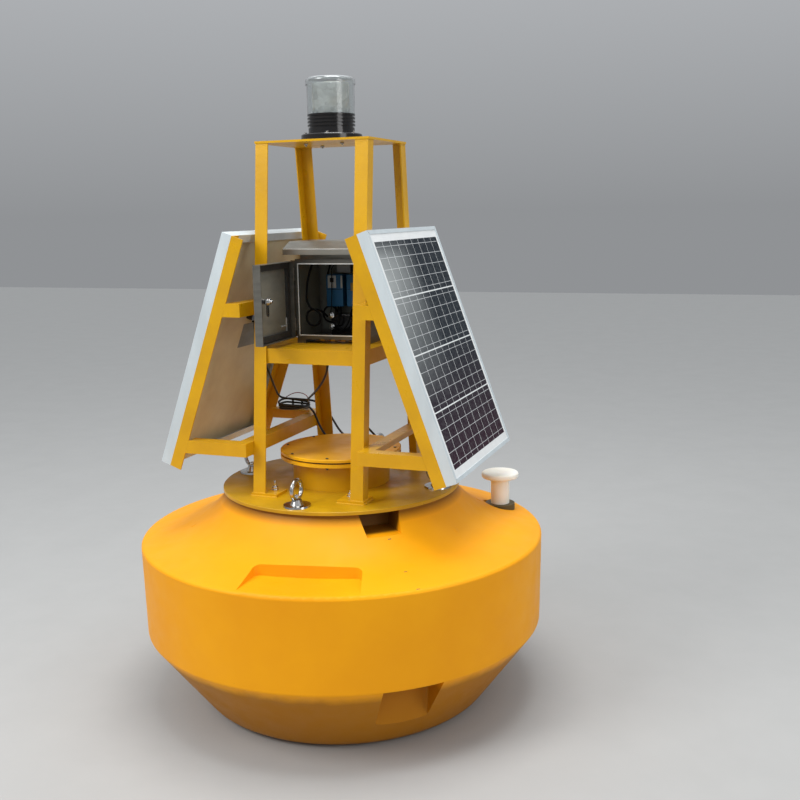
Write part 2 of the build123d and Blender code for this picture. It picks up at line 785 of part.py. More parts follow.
# Wiring in the box: a loop of spare cable with its run to the top, and the leads to the battery
loop_x = box_left + box_wall + loop_left_gap + loop_radius + loop_wire_radius
loop_z = box_foot + box_wall + loop_foot_gap + loop_radius + loop_wire_radius
loop_y = back_panel_face - loop_wire_radius - seat_gap
rise_path = [(loop_x + right, loop_y, loop_z + loop_radius + up) for right, up in loop_rise_points]
rise_runs = [Vector(b) - Vector(a) for a, b in zip(rise_path, rise_path[1:])]
rise_radii = [
    0.45 * min(before.length, after.length) / tan(radians(before.get_angle(after)) / 2)
    for before, after in zip(rise_runs, rise_runs[1:])
]
with BuildPart() as box_wiring:
    with Locations(Location((loop_x, loop_y, loop_z), (90, 0, 0))):
        Torus(loop_radius, loop_wire_radius)
    with BuildLine():
        FilletPolyline(*rise_path, radius=rise_radii)
    with BuildSketch(Plane(rise_path[0], z_dir=rise_runs[0])):
        Circle(loop_wire_radius)
    sweep()
    with BuildSketch(Plane.XY.offset(module_foot)):
        with Locations((module_left + module_width / 2, back_panel_face - module_depth / 2)):
            with GridLocations(tail_wire_spacing, 0, tail_wire_count, 1):
                Circle(tail_wire_radius)
    extrude(amount=-module_clearance)
save(box_wiring, "box_wiring")

# Lantern: ribbed base, ribbed inner lens and a clear domed cover
lantern_foot = tower_top + top_plate_thickness
ribs_foot = lantern_foot + lantern_flange_height + lantern_foot_height
cover_foot = ribs_foot + rib_count * rib_pitch
with BuildPart() as lantern_base:
    with BuildSketch(Plane.XY.offset(lantern_foot)):
        Circle(lantern_flange_radius)
    extrude(amount=lantern_flange_height)
    chamfer(edges().group_by(Axis.Z)[-1], length=lantern_flange_chamfer)
    with BuildSketch(Plane.XY.offset(lantern_foot + lantern_flange_height)):
        Circle(lantern_foot_radius)
    extrude(amount=lantern_foot_height)
    with BuildSketch(Plane.XY.offset(ribs_foot)):
        Circle(rib_root_radius)
    extrude(amount=rib_count * rib_pitch)
    for index in range(rib_count):
        with BuildSketch(Plane.XY.offset(ribs_foot + index * rib_pitch + rib_pitch - rib_height)):
            Circle(rib_radius)
        extrude(amount=rib_height)
save(lantern_base, "lantern_base")

with BuildPart() as lantern_lens:
    with BuildSketch(Plane.XY.offset(cover_foot)):
        Circle(lens_radius)
        Circle(lens_radius - lens_wall, mode=Mode.SUBTRACT)
    extrude(amount=lens_height)
    lens_pitch = lens_height / lens_rib_count
    for index in range(lens_rib_count):
        with BuildSketch(Plane.XY.offset(cover_foot + (index + 1 / 4) * lens_pitch)):
            Circle(lens_radius + lens_rib_depth)
            Circle(lens_radius - lens_wall / 2, mode=Mode.SUBTRACT)
        extrude(amount=lens_pitch / 2)
save(lantern_lens, "lantern_lens")

with BuildPart() as lantern_cover:
    with BuildSketch(Plane.XY.offset(cover_foot)):
        Circle(cover_radius)
    extrude(amount=cover_height - cap_height)
    with BuildSketch(Plane.XY.offset(cover_foot + cover_height - cap_height)):
        Circle(cap_radius)
    extrude(amount=cap_height)
    fillet(edges().group_by(Axis.Z)[-1], radius=cap_round)
    with BuildSketch(Plane.XY.offset(cover_foot + cover_height)):
        Circle(nub_radius)
    extrude(amount=nub_height)
    with BuildPart(mode=Mode.SUBTRACT):
        with BuildSketch(Plane.XY.offset(cover_foot)):
            Circle(cover_radius - cover_wall)
        extrude(amount=cover_height - cover_wall)
        fillet(edges().group_by(Axis.Z)[-1], radius=cap_round - cover_wall)
save(lantern_cover, "lantern_cover")

# Cables under the shelf. Each route is a list of points chosen along it, and the first and last
# point lie on a gland or in the hank.
hank_y = bracket_half_depth - hank_width / 2
with BuildPart() as cable_hank:
    with BuildSketch(Plane.XY.offset(lower_bracket_top)):
        with Locations((hank_x, hank_y)):
            SlotOverall(hank_length, hank_width)
    extrude(amount=hank_height)
    fillet(edges().group_by(Axis.Z)[-1], radius=hank_round)
save(cable_hank, "cable_hank")

deck_glands = {"left": (-66, 200), "middle": (-30, 212), "right": (60, 212)}
with BuildPart() as deck_gland_set:
    for place in deck_glands.values():
        with BuildSketch(Plane.XY.offset(deck_top)):
            with Locations(place):
                RegularPolygon(deck_gland_nut, 6)
        extrude(amount=deck_gland_nut_height)
        with BuildSketch(Plane.XY.offset(deck_top + deck_gland_nut_height)):
            with Locations(place):
                Circle(deck_gland_radius)
        extrude(amount=deck_gland_height)
save(deck_gland_set, "deck_glands")

gland_foot = box_foot - gland_nut_height - gland_length
gland_x = [box_centre_x + gland_spacing * (index - (gland_count - 1) / 2) for index in range(gland_count)]
deck_gland_top = deck_top + deck_gland_nut_height + deck_gland_height
routes = {
    "cable_box": [
        (gland_x[0], box_middle_y, gland_foot),
        (-43, 21, 1004),
        (-62, 45, 960),
        (-100, 84, 920),
        (-143, 132, 888),
        (-186, 184, 862),
        (-218, 222, 842),
        (-242, 248, 820),
    ],
    "cable_left_panel": [
        (-298, 40, 1116),
        (-303, 50, 1068),
        (-298, 74, 1018),
        (-296, 102, 970),
        (-299, 137, 924),
        (-309, 179, 882),
        (-318, 219, 846),
        (-312, 248, 820),
    ],
    "cable_deck_left": [
        (-238, 242, 812),
        (-215, 216, 824),
        (-188, 188, 826),
        (-160, 162, 810),
        (-142, 150, 780),
        (-122, 150, 747),
        (-100, 164, 720),
        (-78, 186, 702),
        (-66, 200, deck_gland_top),
    ],
    "cable_deck_middle": [
        (-240, 254, 822),
        (-200, 250, 836),
        (-160, 244, 818),
        (-132, 238, 778),
        (-107, 232, 744),
        (-72, 224, 722),
        (-42, 216, 705),
        (-30, 212, deck_gland_top),
    ],
    "cable_right": [
        (gland_x[3], box_middle_y, gland_foot),
        (60, 24, 1006),
        (52, 46, 964),
        (30, 76, 922),
        (4, 108, 880),
        (-12, 140, 836),
        (-4, 170, 794),
        (22, 196, 756),
        (48, 208, 718),
        (60, 212, deck_gland_top),
    ],
}
for name, points in routes.items():
    runs = [(Vector(b) - Vector(a)) for a, b in zip(points, points[1:])]
    radii = [
        0.45 * min(before.length, after.length) / tan(radians(before.get_angle(after)) / 2)
        for before, after in zip(runs, runs[1:])
    ]
    print(name, "runs", [round(run.length) for run in runs], "radii", [round(radius) for radius in radii])
    with BuildPart() as cable:
        with BuildLine() as route:
            FilletPolyline(*points, radius=radii)
        with BuildSketch(Plane(points[0], z_dir=runs[0])):
            Circle(cable_radius)
        sweep()
    tube_volume = route.wires()[0].length * pi * cable_radius**2
    print(name, "volume share", round(cable.part.volume / tube_volume, 3))
    save(cable, name)
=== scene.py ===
import random
from math import cos, pi, radians, sin

import bmesh
import bpy
from mathutils import Matrix, Vector
from mathutils.bvhtree import BVHTree


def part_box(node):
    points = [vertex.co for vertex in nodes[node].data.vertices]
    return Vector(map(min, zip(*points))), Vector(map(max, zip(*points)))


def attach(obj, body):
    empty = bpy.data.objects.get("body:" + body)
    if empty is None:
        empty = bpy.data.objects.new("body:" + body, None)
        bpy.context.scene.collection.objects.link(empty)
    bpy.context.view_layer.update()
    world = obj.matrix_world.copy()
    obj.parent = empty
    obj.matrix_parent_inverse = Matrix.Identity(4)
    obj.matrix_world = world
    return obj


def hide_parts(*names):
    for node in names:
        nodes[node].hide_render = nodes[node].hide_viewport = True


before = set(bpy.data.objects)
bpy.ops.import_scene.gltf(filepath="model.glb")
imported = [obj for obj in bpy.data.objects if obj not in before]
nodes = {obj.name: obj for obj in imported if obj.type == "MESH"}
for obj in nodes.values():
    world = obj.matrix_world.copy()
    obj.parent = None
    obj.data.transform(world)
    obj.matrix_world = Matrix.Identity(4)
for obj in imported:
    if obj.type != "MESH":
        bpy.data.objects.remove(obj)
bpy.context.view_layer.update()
random.seed(7)
print("frame loaded,", len(nodes), "nodes")

# View, light and floor
photoView = {
    "place": (1.248, -2.767, 1.444), "yaw": 20.87, "pitch": 10.37, "roll": -1.07,
    "lens": 46.4, "filmWidth": 36, "farthest": 60,
}
studio = {
    "sky": (0.93, 0.96, 1.0),
    "skyStrength": (0.30, 1.08),  # at the horizon and overhead
    "floorColour": (0.42, 0.42, 0.41),
    "floorPatch": 0.97,  # share of the colour in its patches
    "floorSize": 30.0,
    # name: place, aimed at, width, strength
    "lamps": {
        "keyLamp": ((-2.6, -3.4, 4.2), (0, 0, 0.9), 2.6, 146),
        "topLamp": ((0.4, -0.3, 4.6), (0, 0, 0.6), 2.4, 95),
        "sideLamp": ((3.8, -1.6, 2.0), (0, 0, 0.9), 1.8, 26),
    },
}
scene = bpy.context.scene
scene.view_settings.view_transform = "Standard"
cameraData = bpy.data.cameras.new("photoCamera")
camera = bpy.data.objects.new("photoCamera", cameraData)
scene.collection.objects.link(camera)
cameraData.sensor_width = photoView["filmWidth"]
cameraData.lens = photoView["lens"]
cameraData.clip_end = photoView["farthest"]
camera.matrix_world = (
    Matrix.Translation(photoView["place"])
    @ Matrix.Rotation(radians(photoView["yaw"]), 4, "Z")
    @ Matrix.Rotation(radians(90 - photoView["pitch"]), 4, "X")
    @ Matrix.Rotation(radians(photoView["roll"]), 4, "Z")
)
scene.camera = camera

world = bpy.data.worlds.new("paleSky")
world.use_nodes = True
sky = world.node_tree.nodes["Background"]
sky.inputs["Color"].default_value = (*studio["sky"], 1)
skyParts = world.node_tree.nodes.new("ShaderNodeSeparateXYZ")
skyRange = world.node_tree.nodes.new("ShaderNodeMapRange")
skyPlace = world.node_tree.nodes.new("ShaderNodeTexCoord")
skyRange.inputs["To Min"].default_value, skyRange.inputs["To Max"].default_value = studio["skyStrength"]
world.node_tree.links.new(skyPlace.outputs["Generated"], skyParts.inputs[0])
world.node_tree.links.new(skyParts.outputs["Z"], skyRange.inputs["Value"])
world.node_tree.links.new(skyRange.outputs["Result"], sky.inputs["Strength"])
scene.world = world
for lampName, (place, target, width, strength) in studio["lamps"].items():
    lampData = bpy.data.lights.new(lampName, "AREA")
    lampData.shape = "DISK"
    lampData.size = width
    lampData.energy = strength
    lamp = bpy.data.objects.new(lampName, lampData)
    scene.collection.objects.link(lamp)
    lamp.location = place
    lamp.rotation_euler = (Vector(target) - Vector(place)).to_track_quat("-Z", "Y").to_euler()


# Node tree helpers
def objectVector(tree, stretch=(1, 1, 1)):
    coordinates = tree.nodes.new("ShaderNodeTexCoord")
    mapping = tree.nodes.new("ShaderNodeMapping")
    mapping.inputs["Scale"].default_value = stretch
    tree.links.new(coordinates.outputs["Object"], mapping.inputs["Vector"])
    return mapping.outputs["Vector"]


def noiseValue(tree, vector, scale, detail=4.0, roughness=0.55):
    node = tree.nodes.new("ShaderNodeTexNoise")
    node.inputs["Scale"].default_value = scale
    node.inputs["Detail"].default_value = detail
    node.inputs["Roughness"].default_value = roughness
    tree.links.new(vector, node.inputs["Vector"])
    return node.outputs["Fac"]


def spread(tree, value, low, high, newLow=0.0, newHigh=1.0):
    node = tree.nodes.new("ShaderNodeMapRange")
    for socket, number in (("From Min", low), ("From Max", high), ("To Min", newLow), ("To Max", newHigh)):
        node.inputs[socket].default_value = number
    tree.links.new(value, node.inputs["Value"])
    return node.outputs["Result"]


def combine(tree, operation, first, second):
    node = tree.nodes.new("ShaderNodeMath")
    node.operation = operation
    for socket, value in zip(node.inputs, (first, second)):
        if isinstance(value, (int, float)):
            socket.default_value = value
        else:
            tree.links.new(value, socket)
    return node.outputs[0]


def blendColours(tree, factor, first, second):
    node = tree.nodes.new("ShaderNodeMix")
    node.data_type = "RGBA"
    tree.links.new(factor, node.inputs[0])
    for socket, value in ((node.inputs[6], first), (node.inputs[7], second)):
        if isinstance(value, tuple):
            socket.default_value = (*value, 1)
        else:
            tree.links.new(value, socket)
    return node.outputs[2]


def addBump(tree, shader, height, distance):
    node = tree.nodes.new("ShaderNodeBump")
    node.inputs["Distance"].default_value = distance
    node.inputs["Strength"].default_value = 1
    tree.links.new(height, node.inputs["Height"])
    if shader.inputs["Normal"].is_linked:
        tree.links.new(shader.inputs["Normal"].links[0].from_socket, node.inputs["Normal"])
    tree.links.new(node.outputs["Normal"], shader.inputs["Normal"])


# What all finishes share: how sharply the noises turn into patches, specks, the ragged edge of painted shade
# and gloss
surface = {
    "patchEdges": (0.35, 0.68), "speckDetail": (6.0, 0.65), "speckSoftness": 0.03,
    "lowShadeScale": 14, "lowShadeStretch": (1, 1, 0.5),
    "roughScale": 18, "roughEdges": (0.3, 0.7), "bumpDetail": 3.0,
}


# One surface: a base colour with patches, specks, painted shade near the ground, painted shade within a
# radius, and a bump
def makeFinish(name, look):
    material = bpy.data.materials.new(name)
    material.use_nodes = True
    tree = material.node_tree
    shader = tree.nodes["Principled BSDF"]
    shader.inputs["Metallic"].default_value = look.get("metallic", 0.0)
    for socket, value in look.get("shader", {}).items():
        shader.inputs[socket].default_value = value
    vector = objectVector(tree, look.get("stretch", (1, 1, 1)))
    patches = noiseValue(tree, vector, look.get("patchScale", 5))
    colour = blendColours(tree, spread(tree, patches, *surface["patchEdges"]), look["base"], look["patch"])
    if "speck" in look:
        specks = noiseValue(tree, objectVector(tree), look["speckScale"], *surface["speckDetail"])
        cover = spread(tree, specks, look["speckStart"], look["speckStart"] + surface["speckSoftness"])
        colour = blendColours(tree, cover, colour, look["speck"])
    # Painted shade: a darker colour below a ragged height, for the shade on the float's underside
    if "lowShade" in look:
        low, high = look["lowShadeHeights"]
        parts = tree.nodes.new("ShaderNodeSeparateXYZ")
        tree.links.new(objectVector(tree), parts.inputs[0])
        raggedNoise = noiseValue(tree, objectVector(tree, surface["lowShadeStretch"]), surface["lowShadeScale"])
        ragged = combine(tree, "MULTIPLY", raggedNoise, look["lowShadeRagged"])
        height = combine(tree, "ADD", parts.outputs["Z"], ragged)
        cover = combine(tree, "MULTIPLY", spread(tree, height, low, high, 1, 0), look["lowShadeShare"])
        colour = blendColours(tree, cover, colour, look["lowShade"])
    # Painted shade: a darker colour within a radius, for the shade under the deck's edge and in its slot
    if "shade" in look:
        distance = tree.nodes.new("ShaderNodeVectorMath")
        distance.operation = "LENGTH"
        tree.links.new(objectVector(tree, (1, 1, 0)), distance.inputs[0])
        cover = spread(tree, distance.outputs["Value"], *look["shadeRadii"], look["shadeShare"], 0)
        colour = blendColours(tree, cover, colour, look["shade"])
    tree.links.new(colour, shader.inputs["Base Color"])
    gloss = noiseValue(tree, vector, surface["roughScale"])
    rough = spread(tree, gloss, *surface["roughEdges"], *look["roughness"])
    tree.links.new(rough, shader.inputs["Roughness"])
    for scale, distance in look.get("bumps", ()):
        addBump(tree, shader, noiseValue(tree, vector, scale, surface["bumpDetail"]), distance)
    return material


paints = {
    "hullPlastic": {
        "base": (0.92, 0.385, 0.003), "patch": (0.86, 0.338, 0.003), "patchScale": 3.2,
        "speck": (0.30, 0.15, 0.02), "speckScale": 42, "speckStart": 0.735,
        # Painted shade: the cone below the band is darkened
        "lowShade": (0.34, 0.125, 0.004), "lowShadeHeights": (0.215, 0.245),
        "lowShadeRagged": 0.03, "lowShadeShare": 0.82,
        # Painted shade: a dark ring under the deck's edge and in its slot
        "shade": (0.07, 0.03, 0.006), "shadeRadii": (0.343, 0.363), "shadeShare": 0.85,
        "roughness": (0.40, 0.56), "bumps": ((7, 0.0016), (190, 0.00022)),
        "shader": {"Specular IOR Level": 0.18},
    },
    "towerPaint": {
        "base": (0.69, 0.370, 0.004), "patch": (0.60, 0.312, 0.004), "patchScale": 9,
        "speck": (0.16, 0.07, 0.01), "speckScale": 70, "speckStart": 0.735,
        "roughness": (0.26, 0.42), "bumps": ((60, 0.0005), (420, 0.00012)),
        "shader": {"Specular IOR Level": 0.35},
    },
    "deckPaint": {
        "base": (0.58, 0.325, 0.004), "patch": (0.45, 0.245, 0.004), "patchScale": 7,
        "speck": (0.13, 0.075, 0.01), "speckScale": 36, "speckStart": 0.70,
        "roughness": (0.30, 0.52), "bumps": ((40, 0.0006), (300, 0.00015)),
        "shader": {"Specular IOR Level": 0.32},
    },
    # Painted light: a lighter copy of the deck's paint for the hatch under the shelf, standing in for the
    # light that reaches it there
    "litHatchPaint": {
        "base": (0.98, 0.50, 0.007), "patch": (0.84, 0.41, 0.006), "patchScale": 9,
        "speck": (0.16, 0.08, 0.01), "speckScale": 50, "speckStart": 0.71,
        "roughness": (0.34, 0.54), "bumps": ((50, 0.0005), (300, 0.00015)),
        "shader": {"Specular IOR Level": 0.25},
    },
    "plateSteel": {
        "base": (0.30, 0.19, 0.05), "patch": (0.16, 0.10, 0.05), "patchScale": 12,
        "roughness": (0.55, 0.8), "bumps": ((60, 0.0006),), "metallic": 0.3,
    },
    "frameAluminium": {
        "base": (0.68, 0.75, 0.775), "patch": (0.61, 0.675, 0.70), "patchScale": 16, "stretch": (1, 1, 0.2),
        "roughness": (0.38, 0.50), "metallic": 0.30, "bumps": ((300, 0.00006),),
    },
    # Painted highlight: a pale finish for the thin strips along the box's folded edges
    "highlightEdge": {
        "base": (0.86, 0.87, 0.84), "patch": (0.66, 0.67, 0.64), "patchScale": 30,
        "roughness": (0.30, 0.45), "metallic": 0.25, "bumps": ((160, 0.0001),),
    },
    "boxLining": {
        "base": (0.20, 0.205, 0.172), "patch": (0.14, 0.146, 0.12), "patchScale": 12,
        "roughness": (0.45, 0.62), "bumps": ((160, 0.00012),),
    },
    "brightSteel": {
        "base": (0.52, 0.51, 0.49), "patch": (0.38, 0.37, 0.355), "patchScale": 30,
        "roughness": (0.12, 0.28), "metallic": 1.0, "bumps": ((120, 0.00012),),
    },
    "chrome": {
        "base": (0.84, 0.84, 0.83), "patch": (0.72, 0.72, 0.71), "patchScale": 40,
        "roughness": (0.16, 0.28), "metallic": 1.0, "bumps": ((160, 0.0001),),
    },
    "darkSteel": {
        "base": (0.16, 0.15, 0.14), "patch": (0.08, 0.075, 0.07), "patchScale": 60,
        "roughness": (0.35, 0.6), "metallic": 0.8, "bumps": ((200, 0.0001),),
    },
    "boxSteel": {
        "base": (0.215, 0.205, 0.178), "patch": (0.162, 0.154, 0.134), "patchScale": 11, "stretch": (1, 1, 6),
        "speck": (0.34, 0.33, 0.30), "speckScale": 55, "speckStart": 0.74,
        "roughness": (0.30, 0.46), "metallic": 0.78, "bumps": ((180, 0.00010),),
    },
    "roofSteel": {
        "base": (0.35, 0.335, 0.29), "patch": (0.26, 0.25, 0.215), "patchScale": 9, "stretch": (1, 1, 6),
        "speck": (0.46, 0.45, 0.41), "speckScale": 55, "speckStart": 0.74,
        "roughness": (0.30, 0.46), "metallic": 0.70, "bumps": ((180, 0.00010),),
    },
    "boxInside": {
        "base": (0.185, 0.19, 0.16), "patch": (0.135, 0.14, 0.117), "patchScale": 14,
        "roughness": (0.45, 0.62), "bumps": ((160, 0.00012),),
    },
    "doorLining": {
        "base": (0.25, 0.25, 0.21), "patch": (0.19, 0.19, 0.165), "patchScale": 10, "stretch": (1, 1, 3),
        "roughness": (0.40, 0.55), "metallic": 0.25, "bumps": ((90, 0.00015),),
    },
    "rubber": {
        "base": (0.016, 0.016, 0.016), "patch": (0.028, 0.027, 0.025), "patchScale": 40,
        "roughness": (0.55, 0.75), "bumps": ((260, 0.0001),),
    },
    "cableJacket": {
        "base": (0.012, 0.012, 0.013), "patch": (0.024, 0.022, 0.020), "patchScale": 60,
        "roughness": (0.34, 0.5), "bumps": ((300, 0.00006),),
    },
    "dullJacket": {
        "base": (0.003, 0.003, 0.003), "patch": (0.006, 0.006, 0.005), "patchScale": 60,
        "roughness": (0.6, 0.75), "bumps": ((300, 0.00006),), "shader": {"Specular IOR Level": 0.12},
    },
    "redJacket": {
        "base": (0.30, 0.035, 0.02), "patch": (0.22, 0.028, 0.018), "patchScale": 60,
        "roughness": (0.4, 0.55), "bumps": ((300, 0.00005),),
    },
    "blackMoulding": {
        "base": (0.006, 0.006, 0.007), "patch": (0.011, 0.010, 0.010), "patchScale": 22,
        "roughness": (0.10, 0.22), "bumps": ((240, 0.00006),),
    },
    "blueMoulding": {
        "base": (0.004, 0.088, 0.205), "patch": (0.003, 0.070, 0.165), "patchScale": 30,
        "roughness": (0.35, 0.5), "bumps": ((320, 0.00008),),
    },
    "ochreLabel": {
        "base": (0.30, 0.19, 0.05), "patch": (0.22, 0.13, 0.04), "patchScale": 60,
        "roughness": (0.5, 0.65), "bumps": ((400, 0.00003),),
    },
    "greyMoulding": {
        "base": (0.26, 0.27, 0.27), "patch": (0.21, 0.22, 0.22), "patchScale": 30,
        "roughness": (0.4, 0.55), "bumps": ((320, 0.00008),),
    },
    "labelPaper": {
        "base": (0.42, 0.43, 0.42), "patch": (0.34, 0.35, 0.34), "patchScale": 60,
        "roughness": (0.5, 0.65), "bumps": ((400, 0.00003),),
    },
    "nylon": {
        "base": (0.95, 0.93, 0.86), "patch": (0.90, 0.86, 0.74), "patchScale": 18,
        "speck": (0.50, 0.38, 0.20), "speckScale": 60, "speckStart": 0.74,
        "roughness": (0.36, 0.5), "bumps": ((150, 0.00012),),
        "shader": {
            "Subsurface Weight": 0.1, "Subsurface Radius": (0.02, 0.016, 0.012), "Subsurface Scale": 0.3,
        },
    },
    "bushRubber": {
        "base": (0.085, 0.062, 0.018), "patch": (0.115, 0.085, 0.028), "patchScale": 30,
        "roughness": (0.5, 0.7), "bumps": ((140, 0.0002),),
    },
    "lensPlastic": {
        "base": (0.84, 0.87, 0.87), "patch": (0.74, 0.77, 0.77), "patchScale": 20,
        "roughness": (0.22, 0.32), "bumps": ((150, 0.00005),),
        "shader": {"Transmission Weight": 0.12},
    },
    "panelMargin": {
        "base": (0.86, 0.88, 0.87), "patch": (0.80, 0.82, 0.82), "patchScale": 30,
        "roughness": (0.30, 0.36), "bumps": ((900, 0.00003),),
        "shader": {"Coat Weight": 0.3, "Coat Roughness": 0.1},
    },
    "backSheet": {
        "base": (0.76, 0.70, 0.48), "patch": (0.60, 0.52, 0.33), "patchScale": 6,
        "roughness": (0.4, 0.55), "bumps": ((30, 0.0004),),
    },
}
finishes = {name: makeFinish(name, look) for name, look in paints.items()}
print("finishes made:", len(finishes))
floorMaterial = makeFinish("studioFloor", {
    "base": studio["floorColour"],
    "patch": tuple(studio["floorPatch"] * part for part in studio["floorColour"]),
    "roughness": (0.8, 0.9),
})

# Clear lantern cover
coverLook = {
    "colour": (0.86, 0.885, 0.88), "ior": 1.40,
    "smearScale": 30, "smearEdges": (0.35, 0.75), "smear": (0.02, 0.14), "ripple": (60, 0.00003),
}
clearCover = bpy.data.materials.new("clearCover")
clearCover.use_nodes = True
coverShader = clearCover.node_tree.nodes["Principled BSDF"]
coverShader.inputs["Base Color"].default_value = (*coverLook["colour"], 1)
coverShader.inputs["Transmission Weight"].default_value = 1.0
coverShader.inputs["IOR"].default_value = coverLook["ior"]
coverTree = clearCover.node_tree
smears = noiseValue(coverTree, objectVector(coverTree), coverLook["smearScale"])
smears = spread(coverTree, smears, *coverLook["smearEdges"], *coverLook["smear"])
coverTree.links.new(smears, coverShader.inputs["Roughness"])
rippleScale, rippleDepth = coverLook["ripple"]
addBump(coverTree, coverShader, noiseValue(coverTree, objectVector(coverTree), rippleScale), rippleDepth)
finishes["clearCover"] = clearCover

# Solar cells: dark silicon, violet towards the foot, under dulled glass with a painted glare, a pale painted
# reflection, at the front edge.
# The heights and the depths in the painted glare say where it begins and where it is full.
cellLook = {
    "top": (0.010, 0.015, 0.023), "foot": (0.026, 0.005, 0.015), "footHeights": (0.76, 1.08),
    "glare": (0.44, 0.465, 0.46), "glareScale": 4.5, "glareEdges": (0.25, 0.75), "glareShare": (0.55, 1.0),
    "glareFront": (0.02, -0.27), "glareLow": (0.94, 1.25), "glareHigh": (1.375, 1.32),
    "crystalScale": 120, "crystalShine": 0.10, "grain": (700, 0.00004), "grainDetail": 2.0,
    "roughness": 0.42, "specular": 0.0, "coat": 0.10, "coatIor": 1.35, "glassRoughness": 0.16,
}
solarCell = bpy.data.materials.new("solarCell")
solarCell.use_nodes = True
cellTree = solarCell.node_tree
cellShader = cellTree.nodes["Principled BSDF"]
cellParts = cellTree.nodes.new("ShaderNodeSeparateXYZ")
cellTree.links.new(objectVector(cellTree), cellParts.inputs[0])
downShare = spread(cellTree, cellParts.outputs["Z"], *cellLook["footHeights"], 1, 0)
cellColour = blendColours(cellTree, downShare, cellLook["top"], cellLook["foot"])
# Painted glare: a pale painted reflection, fading from the front edge and between the given heights
glare = noiseValue(cellTree, objectVector(cellTree), cellLook["glareScale"])
glare = spread(cellTree, glare, *cellLook["glareEdges"], *cellLook["glareShare"])
glareSteps = (("Y", cellLook["glareFront"]), ("Z", cellLook["glareLow"]), ("Z", cellLook["glareHigh"]))
for axis, (start, end) in glareSteps:
    glare = combine(cellTree, "MULTIPLY", glare, spread(cellTree, cellParts.outputs[axis], start, end))
cellColour = blendColours(cellTree, glare, cellColour, cellLook["glare"])
crystals = cellTree.nodes.new("ShaderNodeTexVoronoi")
crystals.inputs["Scale"].default_value = cellLook["crystalScale"]
cellTree.links.new(objectVector(cellTree), crystals.inputs["Vector"])
shine = spread(cellTree, crystals.outputs["Distance"], 0, 1, 0, cellLook["crystalShine"])
cellColour = blendColours(cellTree, shine, cellColour, cellLook["glare"])
cellTree.links.new(cellColour, cellShader.inputs["Base Color"])
cellSockets = {
    "Roughness": "roughness", "Specular IOR Level": "specular", "Coat Weight": "coat",
    "Coat Roughness": "glassRoughness", "Coat IOR": "coatIor",
}
for socket, value in cellSockets.items():
    cellShader.inputs[socket].default_value = cellLook[value]
grainScale, grainDepth = cellLook["grain"]
grain = noiseValue(cellTree, objectVector(cellTree), grainScale, cellLook["grainDetail"])
addBump(cellTree, cellShader, grain, grainDepth)
finishes["solarCell"] = solarCell

# Silver ribbons on the cells
finishes["solarRibbon"] = makeFinish("solarRibbon", {
    "base": (0.66, 0.68, 0.69), "patch": (0.56, 0.58, 0.59), "patchScale": 50,
    "roughness": (0.3, 0.4), "shader": {"Coat Weight": 0.5, "Coat Roughness": 0.14},
})

# A finish for every carried-over node
nodeFinishes = {
    "hullPlastic": ["hull"],
    "plateSteel": ["bottom_plate"],
    "deckPaint": ["deck_plate"],
    # the hatch gets the lighter copy of the deck's paint, painted light
    "litHatchPaint": ["hatch_flange", "hatch_cover"],
    "rubber": ["hatch_gasket"],
    "brightSteel": ["lifting_eyes", "cable_glands", "deck_glands"],
    "chrome": ["door_lock"],
    "towerPaint": [
        "foot_plates", "top_plate", "shelf_frame", "shelf_plate", "hatch_trunk",
        *[name for name in nodes
          if name.startswith(("post_", "lower_bracket_", "middle_bracket_", "panel_rail_"))],
    ],
    "frameAluminium": ["panel_frame_left", "panel_frame_right"],
    "panelMargin": ["panel_laminate_left", "panel_laminate_right"],
    "blackMoulding": ["junction_box_left", "junction_box_right", "lantern_base", "battery_pack"],
    "boxSteel": ["enclosure_body", "enclosure_feet", "enclosure_door", "door_hinges"],
    "roofSteel": ["enclosure_roof"],
    "boxInside": ["back_panel"],
    "blueMoulding": ["charge_controller", "data_logger"],
    "greyMoulding": ["radio_unit"],
    "clearCover": ["lantern_cover"],
    "lensPlastic": ["lantern_lens"],
    "nylon": ["well_plug"],
    "bushRubber": ["well_bush"],
    "dullJacket": ["box_wiring"],
    "cableJacket": [name for name in nodes if name.startswith("cable_") and name != "cable_glands"],
}
for finishName, nodeNames in nodeFinishes.items():
    for nodeName in nodeNames:
        for materialSlot in nodes[nodeName].material_slots:
            materialSlot.material = finishes[finishName]
bare = set(nodes) - {name for names in nodeFinishes.values() for name in names}
print("nodes dressed:", len(nodes) - len(bare), "bare:", sorted(bare))


# Mesh helpers
def makePiece(bm, name, finishName, body="buoy", sharpAngle=35):
    bmesh.ops.recalc_face_normals(bm, faces=bm.faces)
    mesh = bpy.data.meshes.new(name)
    bm.to_mesh(mesh)
    bm.free()
    mesh.shade_smooth()
    mesh.set_sharp_from_angle(angle=radians(sharpAngle))
    piece = bpy.data.objects.new(name, mesh)
    scene.collection.objects.link(piece)
    mesh.materials.append(finishes[finishName])
    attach(piece, body)
    return piece


edging = {"segments": 2, "profile": 0.5, "affect": "EDGES", "material": -1}
rimAngle = 50  # degrees from which a drum's edge counts as its rim


# Round or many-sided drum standing on place, a matrix with its axis along Z
def addDrum(bm, place, radius, height, segments=24, edge=0.0):
    made = bmesh.ops.create_cone(
        bm, cap_ends=True, segments=segments, radius1=radius, radius2=radius,
        depth=height, matrix=place @ Matrix.Translation((0, 0, height / 2)),
    )
    if edge:
        rims = {e for v in made["verts"] for e in v.link_edges if len(e.link_faces) == 2}
        rims = [e for e in rims if e.calc_face_angle(0) > radians(rimAngle)]
        bmesh.ops.bevel(bm, geom=rims, offset=edge, **edging)


